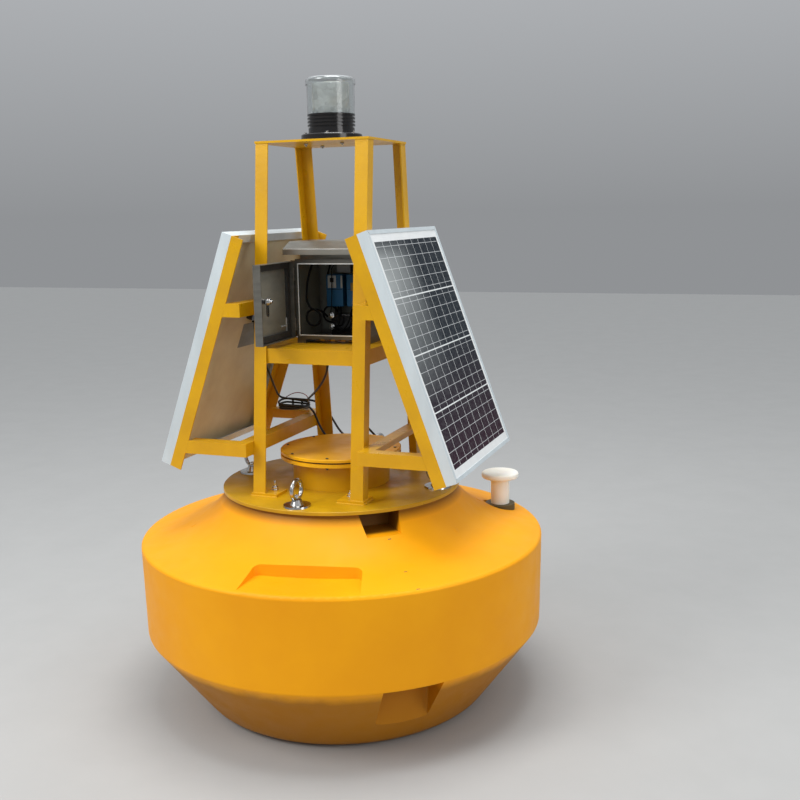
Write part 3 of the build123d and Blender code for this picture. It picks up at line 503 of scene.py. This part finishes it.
# Flat plate on place: width along X, height along Y, and it rises along Z
def addPlate(bm, place, width, height, thickness, edge=0.0):
    size = Matrix.Diagonal((width, height, thickness, 1))
    made = bmesh.ops.create_cube(bm, size=1, matrix=place @ Matrix.Translation((0, 0, thickness / 2)) @ size)
    if edge:
        edges = list({e for v in made["verts"] for e in v.link_edges})
        bmesh.ops.bevel(bm, geom=edges, offset=edge, **edging)


# Rectangular ring on place, band wide
def addRim(bm, place, width, height, band, thickness):
    corners = [(-1, -1), (1, -1), (1, 1), (-1, 1)]
    spots = [place @ Vector((x * width / 2, y * height / 2, 0)) for x, y in corners]
    face = bm.faces.new([bm.verts.new(spot) for spot in spots])
    face.normal_update()
    bmesh.ops.inset_region(bm, faces=[face], thickness=band, use_even_offset=True, use_boundary=True)
    ring = [f for e in face.edges for f in e.link_faces if f is not face]
    bmesh.ops.delete(bm, geom=[face], context="FACES_ONLY")
    raised = bmesh.ops.extrude_face_region(bm, geom=ring)
    rise = place.to_3x3() @ Vector((0, 0, thickness))
    bmesh.ops.translate(bm, vec=rise, verts=[v for v in raised["geom"] if isinstance(v, bmesh.types.BMVert)])


# Piece of plates, each given as its place and its width, height, thickness and edge
def makePlates(name, finishName, slotName, *plates, body="buoy"):
    bm = bmesh.new()
    for place, size in plates:
        addPlate(bm, place, *size)
    makePiece(bm, name, finishName, body)


# Points round a circle, the first of them at an angle in degrees
def circlePoints(radius, count, first):
    turns = [radians(first + index * 360 / count) for index in range(count)]
    return [(radius * cos(turn), radius * sin(turn)) for turn in turns]


def upright(x, y, z, turn=0.0):
    return Matrix.Translation((x, y, z)) @ Matrix.Rotation(radians(turn), 4, "Z")


def upsideDown(x, y, z):
    return Matrix.Translation((x, y, z)) @ Matrix.Rotation(pi, 4, "X")


# Turns of a plate that stands on end: Z towards the front, or Z along X
outOfBox = Matrix(((1, 0, 0), (0, 0, -1), (0, 1, 0))).to_4x4()
alongX = Matrix(((0, 0, 1), (1, 0, 0), (0, 1, 0))).to_4x4()


# Studio floor
floorMesh = bmesh.new()
bmesh.ops.create_grid(floorMesh, x_segments=1, y_segments=1, size=studio["floorSize"] / 2)
floorData = bpy.data.meshes.new("studioFloor")
floorMesh.to_mesh(floorData)
floorMesh.free()
floor = bpy.data.objects.new("studioFloor", floorData)
scene.collection.objects.link(floor)
floorData.materials.append(floorMaterial)


# Cables. Each follows its route as one smooth curve.
cables = {
    "radius": 0.0035, "stepsAlong": 8, "stepsRound": 4,
    "hank": {
        "centre": (-0.274, 0.245), "halfStraight": 0.028, "bend": 0.0242, "turns": 3,
        "top": 0.8277, "step": 0.0068, "bendPoints": 6, "straightAfter": (75, 255), "unwound": 6,
        "fan": 0.015, "reach": 0.005, "wander": 0.0003,
    },
    "boxRoute": [
        (-0.041, 0.018, 1.052), (-0.043, 0.021, 1.004), (-0.062, 0.045, 0.960), (-0.100, 0.084, 0.920),
        (-0.143, 0.132, 0.888), (-0.186, 0.184, 0.862), (-0.218, 0.222, 0.842),
    ],
    "deckLeftRoute": [
        (-0.296, 0.2213, 0.8100), (-0.278, 0.2210, 0.8104), (-0.260, 0.2208, 0.8116), (-0.243, 0.220, 0.814),
        (-0.229, 0.217, 0.818), (-0.212, 0.210, 0.823), (-0.188, 0.188, 0.826), (-0.160, 0.162, 0.810),
        (-0.142, 0.150, 0.780), (-0.122, 0.150, 0.747), (-0.100, 0.164, 0.720), (-0.078, 0.186, 0.702),
        (-0.066, 0.200, 0.677),
    ],
    "panelRoute": [
        (-0.298, 0.040, 1.116), (-0.303, 0.050, 1.068), (-0.298, 0.074, 1.018), (-0.296, 0.102, 0.970),
        (-0.299, 0.137, 0.924), (-0.308, 0.179, 0.882), (-0.314, 0.212, 0.853), (-0.304, 0.238, 0.842),
        (-0.280, 0.250, 0.840), (-0.252, 0.252, 0.839), (-0.225, 0.252, 0.838),
    ],
    "deckMiddleRoute": [
        (-0.200, 0.250, 0.836), (-0.160, 0.244, 0.818), (-0.132, 0.238, 0.778), (-0.107, 0.232, 0.744),
        (-0.072, 0.224, 0.722), (-0.042, 0.216, 0.705), (-0.030, 0.212, 0.677),
    ],
    "rightRoute": [
        (0.061, 0.018, 1.052), (0.060, 0.024, 1.006), (0.052, 0.046, 0.964), (0.030, 0.076, 0.922),
        (0.004, 0.108, 0.880), (-0.012, 0.140, 0.836), (-0.004, 0.170, 0.794), (0.022, 0.196, 0.756),
        (0.048, 0.208, 0.718), (0.060, 0.212, 0.677),
    ],
    "redWire": {
        "radius": 0.0014,
        "route": [
            (-0.318, 0.262, 0.838), (-0.304, 0.264, 0.848), (-0.284, 0.262, 0.857), (-0.262, 0.260, 0.860),
            (-0.240, 0.256, 0.856), (-0.226, 0.252, 0.845), (-0.222, 0.244, 0.832),
        ],
    },
    "leadsRadius": 0.0025,
    "meterLead": [
        (-0.012, 0.060, 1.1690), (-0.011, 0.040, 1.160), (-0.004, 0.018, 1.150), (0.003, 0.010, 1.134),
        (0.001, 0.008, 1.118), (-0.009, 0.009, 1.109), (-0.0165, 0.0105, 1.1095),
    ],
    "loggerLead": [
        (0.030, 0.060, 1.1690), (0.030, 0.040, 1.158), (0.034, 0.018, 1.140), (0.028, 0.010, 1.118),
        (0.014, 0.008, 1.101), (-0.003, 0.009, 1.0955), (-0.019, 0.0100, 1.1035),
    ],
    "signalRadius": 0.0014,
    "signalWire": [
        (-0.046, 0.088, 1.287), (-0.040, 0.060, 1.283), (-0.032, 0.038, 1.266), (-0.0305, 0.036, 1.235),
        (-0.031, 0.033, 1.190), (-0.025, 0.018, 1.164), (-0.026, 0.0098, 1.1532),
    ],
    "spare": {
        "radius": 0.0031,
        "from": [
            (-0.066, -0.020, 1.2975), (-0.070, -0.026, 1.280), (-0.077, -0.034, 1.246),
            (-0.078, -0.040, 1.211), (-0.076, -0.0435, 1.191), (-0.068, -0.0455, 1.176),
            (-0.0600, -0.0460, 1.1695),
        ],
        "centre": (-0.056, 1.143), "bend": 0.0243, "depths": (-0.0460, -0.0385), "points": 12, "start": 75,
        "to": [(-0.0400, -0.0270, 1.162), (-0.037, -0.008, 1.152), (-0.0355, 0.0105, 1.142)],
    },
}


# Points of the hank's turns from its right end, wound downwards, the upper ones fanned out to the left
def hankTurns(look):
    loop = []
    for turn in range(90 // look["bendPoints"], 360, 180 // look["bendPoints"]):
        side, rise = (1 if cos(radians(turn)) > 0 else -1), sin(radians(turn))
        loop.append((side, cos(radians(turn)), rise))
        if turn in look["straightAfter"]:
            loop += [(side * share, 0, rise) for share in (0.5, 0, -0.5)]
    points = []
    total = look["turns"] * len(loop) - look["unwound"]
    for index in range(total):
        along, out, back = loop[index % len(loop)]
        upper = 1 - index / total
        bend = look["bend"] + random.uniform(-look["wander"], look["wander"])
        reach = look["halfStraight"] + (upper * look["reach"] if along < 0 else 0)
        leftness = (1 - (along * reach + out * bend) / (reach + bend)) / 2
        points.append((
            look["centre"][0] + along * reach + out * bend,
            look["centre"][1] + back * bend,
            look["top"] + look["fan"] * upper * leftness * (1 + back) / 2 - look["step"] * index / len(loop),
        ))
    return points


# Points of the one turn that the spare cable makes behind the mouth, clockwise from its top
def spareTurn(look):
    points = []
    for index in range(look["points"] + 1):
        turn = radians(look["start"] - index * 360 / look["points"])
        points.append((
            look["centre"][0] + look["bend"] * cos(turn),
            look["depths"][0] + (look["depths"][1] - look["depths"][0]) * index / look["points"],
            look["centre"][1] + look["bend"] * sin(turn),
        ))
    return points


def makeCable(name, route, radius, finishName, length, slotName="cable_rubber", **facts):
    data = bpy.data.curves.new(name, "CURVE")
    data.dimensions = "3D"
    spline = data.splines.new("NURBS")
    spline.points.add(len(route) - 1)
    for point, place in zip(spline.points, route):
        point.co = (*place, 1)
    spline.order_u = 3
    spline.use_endpoint_u = True
    data.resolution_u = cables["stepsAlong"]
    data.bevel_depth = radius
    data.bevel_resolution = cables["stepsRound"]
    data.use_fill_caps = True
    data.materials.append(finishes[finishName])
    cable = bpy.data.objects.new(name, data)
    scene.collection.objects.link(cable)
    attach(cable, "buoy")
    return cable


jacket = cables["radius"]
hankRoute = cables["boxRoute"] + hankTurns(cables["hank"]) + cables["deckLeftRoute"]
boxCable = makeCable("cableBoxToDeck", hankRoute, jacket, "cableJacket", 1.434, lay="coiled")
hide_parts("cable_box", "cable_hank", "cable_deck_left")
panelRoute = cables["panelRoute"] + cables["deckMiddleRoute"]
panelCable = makeCable("cablePanelToDeck", panelRoute, jacket, "cableJacket", 0.697, lay="hanging")
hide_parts("cable_left_panel", "cable_deck_middle")
rightCable = makeCable("cableSensorToDeck", cables["rightRoute"], jacket, "cableJacket", 0.458, lay="hanging")
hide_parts("cable_right")
red = cables["redWire"]
makeCable("redWireOverHank", red["route"], red["radius"], "redJacket", 0.117, lay="loose")
leads = cables["leadsRadius"]
makeCable("meterLead", cables["meterLead"], leads, "dullJacket", 0.101, lay="hanging", stiffness="limp")
makeCable("loggerLead", cables["loggerLead"], leads, "dullJacket", 0.130, lay="hanging", stiffness="limp")
signal = cables["signalRadius"]
makeCable("signalWire", cables["signalWire"], signal, "dullJacket", 0.175, lay="hanging", stiffness="limp")
spare = cables["spare"]
spareRoute = spare["from"] + spareTurn(spare) + spare["to"]
makeCable("spareLoop", spareRoute, spare["radius"], "dullJacket", 0.353, lay="hanging", stiffness="limp")
print("camera, light, floor, finishes and cables done")

# Corners of the carried-over nodes, for placing what sits on them
boxes = {name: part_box(name) for name in nodes}


def low(name, axis):
    return boxes[name][0]["xyz".index(axis)]


def high(name, axis):
    return boxes[name][1]["xyz".index(axis)]


# Solar cells: four rows of nine with ribbons across them, the sheet behind and the frame's mitres
panel = {
    "centre": (0.333, 0.0, 1.0685), "lean": 19.9, "size": (0.547, 0.700), "lipWidth": 0.011, "lip": 0.0016,
    "cellsWidth": 0.500, "cellsHeight": 0.637, "columns": 9, "rows": 4, "gap": 0.0011, "rowGap": 0.0015,
    "cellRise": 0.0002, "ribbonWidth": 0.0013, "ribbonRise": 0.00035, "ribbonsPerCell": 5,
    "sheetDepth": 0.00722, "sheet": (0.538, 0.690, 0.0006),
    "label": (0.118, 0.078, 0.0003), "labelPlace": (0.052, 0.012, -0.0003),
    "mitre": (0.0143, 0.0006, 0.0002),
}
for sideName, side in (("left", -1), ("right", 1)):
    lean = radians(panel["lean"])
    outward = Vector((side * cos(lean), 0, sin(lean)))
    across = Vector((0, side, 0))
    upwards = outward.cross(across)
    origin = Vector((side * panel["centre"][0], 0, panel["centre"][2]))
    plane = Matrix.Translation(origin) @ Matrix((across, upwards, outward)).transposed().to_4x4()
    face = plane @ Matrix.Translation((0, 0, -panel["lip"]))
    rowPitch = panel["cellsHeight"] / panel["rows"]
    cells = bmesh.new()
    for row in range(panel["rows"]):
        rowMiddle = (row - (panel["rows"] - 1) / 2) * rowPitch
        bmesh.ops.create_grid(
            cells, x_segments=panel["columns"], y_segments=1, size=0.5,
            matrix=face @ Matrix.Translation((0, rowMiddle, 0))
            @ Matrix.Diagonal((panel["cellsWidth"], rowPitch - panel["rowGap"], 1, 1)),
        )
    gaps = bmesh.ops.inset_individual(
        cells, faces=cells.faces[:], thickness=panel["gap"], use_even_offset=True,
    )
    bmesh.ops.delete(cells, geom=gaps["faces"], context="FACES")
    top = bmesh.ops.extrude_discrete_faces(cells, faces=cells.faces[:])["faces"]
    bmesh.ops.translate(cells, vec=outward * panel["cellRise"], verts=list({v for f in top for v in f.verts}))
    makePiece(cells, f"solarCells_{sideName}", "solarCell")

    ribbons = []
    ribbonPitch = rowPitch / panel["ribbonsPerCell"]
    for index in range(panel["rows"] * panel["ribbonsPerCell"]):
        rise = (index + 0.5) * ribbonPitch - panel["cellsHeight"] / 2
        size = (panel["cellsWidth"], panel["ribbonWidth"], panel["ribbonRise"])
        ribbons.append((face @ Matrix.Translation((0, rise, 0)), size))
    makePlates(f"solarRibbons_{sideName}", "solarRibbon", "panel_glass", *ribbons)

    behind = plane @ Matrix.Translation((0, 0, -panel["sheetDepth"]))
    makePlates(f"backSheet_{sideName}", "backSheet", "panel_glass", (behind, panel["sheet"]))
    labelX, labelY, labelZ = panel["labelPlace"]
    labelPlace = behind @ Matrix.Translation((side * labelX, labelY, labelZ))
    makePlates(f"blankLabel_{sideName}", "doorLining", "panel_glass", (labelPlace, panel["label"]))

    mitres = []
    for cornerX, cornerY in ((-1, -1), (1, -1), (1, 1), (-1, 1)):
        inset = panel["lipWidth"] / 2
        corner = Matrix.Translation((
            cornerX * (panel["size"][0] / 2 - inset), cornerY * (panel["size"][1] / 2 - inset), 0,
        ))
        turn = Matrix.Rotation(radians(45) * cornerX * cornerY, 4, "Z")
        mitres.append((plane @ corner @ turn, panel["mitre"]))
    makePlates(f"frameMitres_{sideName}", "darkSteel", "panel_aluminium", *mitres)
print("solar panels done")


# Fasteners
boltShape = {"washerSides": 20, "studSides": 14, "washerEdge": 0.25, "headEdge": 0.1, "studEdge": 0.2}


# Hexagon head or nut on place, on a washer where it has one, and the stud's tip standing out of it
def addBolt(bm, place, look, tip=0.0):
    if "washer" in look:
        radius, height = look["washer"]
        addDrum(bm, place, radius, height, boltShape["washerSides"], boltShape["washerEdge"] * height)
        place = place @ Matrix.Translation((0, 0, height))
    radius, height = look["head"]
    addDrum(bm, place, radius, height, 6, boltShape["headEdge"] * height)
    if tip:
        place = place @ Matrix.Translation((0, 0, height))
        addDrum(bm, place, look["stud"], tip, boltShape["studSides"], boltShape["studEdge"] * look["stud"])


# radius and height of washer and head, and the stud's radius
coverBolt = {"head": (0.0044, 0.0024)}
smallNut = {"head": (0.0056, 0.0046), "stud": 0.0030}
footBolt = {"washer": (0.0112, 0.0018), "head": (0.0092, 0.0080), "stud": 0.0036}
eyeBolt = {"head": (0.0082, 0.0072), "stud": 0.004}

# Each circle: radius, count and the angle of its first bolt.
# The heads of the eye bolts lie in the bottom of their rings.
fixings = {
    "hatchCircle": (0.166, 8, -80), "nutTip": 0.004,
    "eyeCircle": (0.305, 4, -90), "eyeFoot": 0.6735, "eyeTip": 0.002,
    # x, y and the length of the rod over the nut
    "footStuds": (
        (-0.125, -0.195, 0.017), (0.113, -0.195, 0.007), (-0.118, 0.195, 0.010), (0.121, 0.195, 0.008),
    ),
}
coverBolts = bmesh.new()
for x, y in circlePoints(*fixings["hatchCircle"]):
    spin = random.uniform(0, 60)
    addBolt(coverBolts, upright(x, y, high("hatch_cover", "z"), spin), coverBolt)
    addBolt(coverBolts, upsideDown(x, y, low("hatch_flange", "z")), smallNut, fixings["nutTip"])
makePiece(coverBolts, "hatchBolts", "darkSteel")
studs = bmesh.new()
for x, y, tip in fixings["footStuds"]:
    addBolt(studs, upright(x, y, high("foot_plates", "z"), random.uniform(0, 60)), footBolt, tip)
makePiece(studs, "footStuds", "chrome")
eyeHeads = bmesh.new()
for x, y in circlePoints(*fixings["eyeCircle"]):
    addBolt(eyeHeads, upright(x, y, fixings["eyeFoot"], random.uniform(0, 60)), eyeBolt, fixings["eyeTip"])
makePiece(eyeHeads, "eyeBoltHeads", "chrome")


# Welds of the tower, painted over
lumps = {"pitch": 0.9, "sizes": (0.75, 1.1)}  # shares of a weld's size


# Row of overlapping lumps from start to end, uneven as a hand weld is
def addWeld(bm, start, end, size):
    start, end = Vector(start), Vector(end)
    steps = max(2, round((end - start).length / (lumps["pitch"] * size)))
    for index in range(steps + 1):
        lump = size * random.uniform(*lumps["sizes"])
        turn = Matrix.Rotation(random.uniform(0, pi), 4, "Z")
        place = Matrix.Translation(start.lerp(end, index / steps)) @ turn
        bmesh.ops.create_icosphere(bm, subdivisions=2, radius=lump, matrix=place)


tower = {
    "half": high("post_back_right", "x"),
    "leg": high("post_back_right", "x") - low("post_back_right", "x"),
    "footFace": high("post_back_right", "y"),
    "foot": low("post_back_right", "z"),
    "top": high("post_back_right", "z"),
    "weld": 0.0026, "plateWeld": 0.0030, "topWeld": 0.0018,
    "plate": (0.080, 0.068), "shelfWeld": 0.012, "shelfGap": 0.0005,
}
tower["topFace"] = low("post_back_right", "y") + tower["leg"]


def postFace(height):
    share = (height - tower["foot"]) / (tower["top"] - tower["foot"])
    return tower["footFace"] + share * (tower["topFace"] - tower["footFace"])


welds = bmesh.new()
deckTop = high("deck_plate", "z")
for side in (-1, 1):
    for end in (-1, 1):
        x, leg = side * tower["half"], tower["leg"]
        plateCorner = (side * high("foot_plates", "x"), end * high("foot_plates", "y"), deckTop)
        corners = (
            ((x, end * tower["footFace"], tower["foot"]), (leg, leg), tower["weld"]),
            (plateCorner, tower["plate"], tower["plateWeld"]),
            ((x, end * tower["topFace"], tower["top"]), (leg, leg), tower["topWeld"]),
        )
        for (cornerX, cornerY, height), (width, length), weld in corners:
            start = (cornerX, cornerY, height)
            addWeld(welds, start, (cornerX - side * width, cornerY, height), weld)
            addWeld(welds, start, (cornerX, cornerY - end * length, height), weld)
        for bracket in ("lower_bracket_right", "middle_bracket_right"):
            for height in (low(bracket, "z"), high(bracket, "z")):
                outer = end * postFace(height)
                addWeld(welds, (x, outer, height), (x, outer - end * leg, height), tower["weld"])
        for height in (low("shelf_frame", "z"), high("shelf_frame", "z")):
            outer = end * (postFace(height) + tower["shelfGap"])
            inner = side * (tower["half"] - leg)
            shelfEnd = (inner, outer - end * tower["shelfWeld"], height)
            addWeld(welds, (inner, outer, height), shelfEnd, tower["topWeld"])
makePiece(welds, "towerWelds", "towerPaint", sharpAngle=80)
print("bolts and welds done")

# Float: blow plugs on the shoulder and the mould's parting marks
hullDetails = {
    "plugs": ((-147, 0.447), (-16, 0.414), (33, 0.43), (164, 0.414)),
    "plug": (0.0085, 0.0016, 28, 0.0005),  # radius, height, sides and edge
    "markAngles": (-47.5, 132.5), "markRadii": (0.394, 0.506, 0.590), "mark": (0.0022, 0.010, 0.0012, 0.0004),
}
hullTree = BVHTree.FromObject(nodes["hull"], bpy.context.evaluated_depsgraph_get())


# Place on the float's upper side, Z out of its skin, for a thing that is sunk into it by half its height
def onShoulder(angle, distance, height):
    start = Vector((distance * cos(radians(angle)), distance * sin(radians(angle)), 1.0))
    spot, normal, _, _ = hullTree.ray_cast(start, Vector((0, 0, -1)))
    turn = normal.to_track_quat("Z", "X").to_matrix().to_4x4()
    return Matrix.Translation(spot) @ turn @ Matrix.Translation((0, 0, -height / 2))


plugs = bmesh.new()
for angle, distance in hullDetails["plugs"]:
    addDrum(plugs, onShoulder(angle, distance, hullDetails["plug"][1]), *hullDetails["plug"])
makePiece(plugs, "blowPlugs", "hullPlastic")
marks = []
for angle in hullDetails["markAngles"]:
    for distance in hullDetails["markRadii"]:
        marks.append((onShoulder(angle, distance, hullDetails["mark"][2]), hullDetails["mark"]))
makePlates("partingMarks", "darkSteel", "hull_plastic", *marks)

# Lantern: finely ringed lens, lamp column, screws on the flange and nuts under the top plate
lantern = {
    "lensRadius": 0.053, "lensGroove": 0.0018, "lensWall": 0.004, "rings": 26, "segments": 96,
    "column": (0.016, 0.074, 24, 0.001), "disc": (0.036, 0.0022, 40, 0.0005), "discCount": 5,
    "screws": (0.079, 6, -75), "nuts": (0.079, 4, 45), "flange": 0.020,
    "screw": {"washer": (0.0052, 0.001), "head": (0.0042, 0.0034)},
}
lensFoot, lensTop = low("lantern_lens", "z"), high("lantern_lens", "z")
ringPitch = (lensTop - lensFoot) / lantern["rings"]
lens = bmesh.new()
outline = []
for index in range(2 * lantern["rings"] + 1):
    groove = lantern["lensGroove"] * (index % 2)
    outline.append((lantern["lensRadius"] - groove, lensFoot + index * ringPitch / 2))
inner = lantern["lensRadius"] - lantern["lensWall"]
outline += [(inner, lensTop), (inner, lensFoot)]
lensVerts = [lens.verts.new((radius, 0, height)) for radius, height in outline]
lensEdges = [lens.edges.new(pair) for pair in zip(lensVerts, lensVerts[1:] + lensVerts[:1])]
bmesh.ops.spin(
    lens, geom=lensVerts + lensEdges, cent=(0, 0, 0), axis=(0, 0, 1), angle=2 * pi,
    steps=lantern["segments"], use_merge=True,
)
lensPiece = makePiece(lens, "ringedLens", "lensPlastic", sharpAngle=20)
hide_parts("lantern_lens")
column = bmesh.new()
addDrum(column, upright(0, 0, lensFoot), *lantern["column"])
for index in range(lantern["discCount"]):
    rise = lensFoot + (index + 0.5) * lantern["column"][1] / lantern["discCount"]
    addDrum(column, upright(0, 0, rise), *lantern["disc"])
makePiece(column, "lampColumn", "greyMoulding")
flangeFixings = bmesh.new()
for x, y in circlePoints(*lantern["screws"]):
    addBolt(flangeFixings, upright(x, y, low("lantern_base", "z") + lantern["flange"]), lantern["screw"])
for x, y in circlePoints(*lantern["nuts"]):
    addBolt(flangeFixings, upsideDown(x, y, low("top_plate", "z")), smallNut, fixings["nutTip"])
makePiece(flangeFixings, "lanternFixings", "brightSteel")
print("float and lantern details done")

# Door: gasket round the inside of its pan, lining, a narrow clip and the nut on the cam.
# Places on it go by the distance from its hinge, the height and the depth into its pan.
door = {
    "hinge": (-0.105, -0.066, 0.0), "turn": 87, "sheetFace": -0.019,
    "reach": 0.115, "height": 1.1985, "gasket": (0.214, 0.215, 0.017, 0.010),
    "lining": (0.182, 0.183, 0.0016, 0.0004), "clipHeight": 1.124,
    "clips": ((0.026, (0.0030, 0.045, 0.0030, 0.0006)), (0.038, (0.048, 0.0030, 0.0030, 0.0006))),
    "camNut": (0.196, 1.2085, 0.007), "pin": 0.006,
    "nut": {"washer": (0.0105, 0.0014), "head": (0.0088, 0.0062), "stud": 0.0040},
}
doorAlong = Vector((cos(radians(door["turn"])), -sin(radians(door["turn"])), 0))
doorInward = Vector((sin(radians(door["turn"])), cos(radians(door["turn"])), 0))


def onDoor(reach, height, depth):
    spot = Vector(door["hinge"]) + reach * doorAlong + depth * doorInward + Vector((0, 0, height))
    turn = Matrix((-doorAlong, Vector((0, 0, 1)), doorInward)).transposed().to_4x4()
    return Matrix.Translation(spot) @ turn


gasket = bmesh.new()
doorMiddle = onDoor(door["reach"], door["height"], door["sheetFace"])
addRim(gasket, doorMiddle, *door["gasket"])
makePiece(gasket, "doorGasket", "rubber", body="door")
makePlates("doorLiningPlate", "doorLining", "box_steel", (doorMiddle, door["lining"]), body="door")
onLining = door["sheetFace"] + door["lining"][2]
clips = [(onDoor(reach, door["clipHeight"], onLining), size) for reach, size in door["clips"]]
makePlates("doorClip", "labelPaper", "box_steel", *clips, body="door")
camNut = bmesh.new()
addBolt(camNut, onDoor(*door["camNut"]), door["nut"], door["pin"])
makePiece(camNut, "camNut", "chrome", body="door")

# Instrument box: painted highlights on the folded edges of mouth and roof, lining, patches on the modules,
# battery terminals.
# Each plate: width, height, thickness and edge.
instruments = {
    "mouth": (0.010, 1.1975, 0.194, 0.203), "rimBand": 0.0030, "rimRise": 0.0008,
    "lining": (0.154, 0.225, 0.0005), "liningPlace": (-0.0990, 0.018, 1.1975),
    "roofHighlight": (0.266, 0.0018, 0.0005, 0.0002), "roofHighlightPlace": (0.010, -0.092, 1.3430),
    "hingeStrip": (0.017, 0.222, 0.0015, 0.0003), "hingeStripPlace": (-0.1095, -0.0545, 1.1985),
    "patch": (0.027, 0.037, 0.0006, 0.0002), "patchPlace": (0.0189, 0.0216),
    "stripe": (0.0056, 0.037, 0.0006, 0.0002), "stripePlace": (0.0500, 0.0216),
    "window": (0.0127, 0.0128, 0.0006, 0.0002), "windowPlace": (0.0189, 0.0166),
    "meterPatch": (0.022, 0.024, 0.0006, 0.0002), "meterPatchPlace": (0.024, 0.036),
    "seam": (0.050, 0.0012, 0.0003), "seamPlace": (0.027, 0.044),
    "terminals": ((-0.0265, 1.144), (-0.0255, 1.110)), "terminalTip": 0.003,
    "post": (0.0052, 0.008, 24, 0.0004), "lug": (0.0092, 0.0026, 24, 0.0006),
}


# One plate on a module's front face, Z towards the mouth
def frontPlate(module, part, rise=0.0):
    fromLeft, fromTop = instruments[part + "Place"]
    spot = (low(module, "x") + fromLeft, low(module, "y"), high(module, "z") - fromTop)
    return Matrix.Translation(spot) @ outOfBox @ Matrix.Translation((0, 0, rise)), instruments[part]


# Painted highlight: a pale strip round the edge of the mouth
mouthX, mouthZ, mouthWidth, mouthHeight = instruments["mouth"]
mouthRimHighlight = bmesh.new()
rimPlace = Matrix.Translation((mouthX, low("enclosure_body", "y"), mouthZ)) @ outOfBox
band = instruments["rimBand"]
addRim(mouthRimHighlight, rimPlace, mouthWidth + 2 * band, mouthHeight + 2 * band, band, instruments["rimRise"])
makePiece(mouthRimHighlight, "mouthRimHighlight", "highlightEdge")
for name, finishName, part, turn in (
    ("boxLiningPlate", "boxLining", "lining", alongX),
    # painted highlight along the roof's front fold
    ("roofHighlightEdge", "highlightEdge", "roofHighlight", outOfBox),
    ("hingeSideStrip", "boxSteel", "hingeStrip", outOfBox),
):
    place = Matrix.Translation(instruments[part + "Place"]) @ turn
    makePlates(name, finishName, "box_steel", (place, instruments[part]))
controllerPatches = [frontPlate("charge_controller", part) for part in ("patch", "stripe")]
makePlates("blankPatches", "labelPaper", "radio_grey", *controllerPatches)
makePlates("blankMeterPatch", "ochreLabel", "radio_grey", frontPlate("data_logger", "meterPatch"))
window = frontPlate("charge_controller", "window", instruments["patch"][2])
seams = [frontPlate(module, "seam") for module in ("charge_controller", "data_logger")]
makePlates("moduleWindows", "blackMoulding", "black_plastic", window, *seams)
terminals = bmesh.new()
for x, z in instruments["terminals"]:
    place = Matrix.Translation((x, low("battery_pack", "y"), z)) @ outOfBox
    for drum in (instruments["post"], instruments["lug"]):
        addDrum(terminals, place, *drum)
        place = place @ Matrix.Translation((0, 0, drum[1]))
    addBolt(terminals, place, smallNut, instruments["terminalTip"])
makePiece(terminals, "batteryTerminals", "chrome")

# Ties round the hank, on its back run
ties = {"along": (-0.292, -0.258), "width": 0.0036, "band": 0.0011, "gap": 0.0005}
tieBands = bmesh.new()
hank = cables["hank"]
stack = 2 * jacket + hank["step"] * hank["turns"]
for x in ties["along"]:
    height = hank["top"] + jacket - stack / 2
    place = Matrix.Translation((x - ties["width"] / 2, hank["centre"][1] + hank["bend"], height)) @ alongX
    outer = 2 * (ties["band"] + ties["gap"])
    addRim(tieBands, place, 2 * jacket + outer, stack + outer / 2, ties["band"], ties["width"])
makePiece(tieBands, "hankTies", "blackMoulding")
print("door, box and ties done")
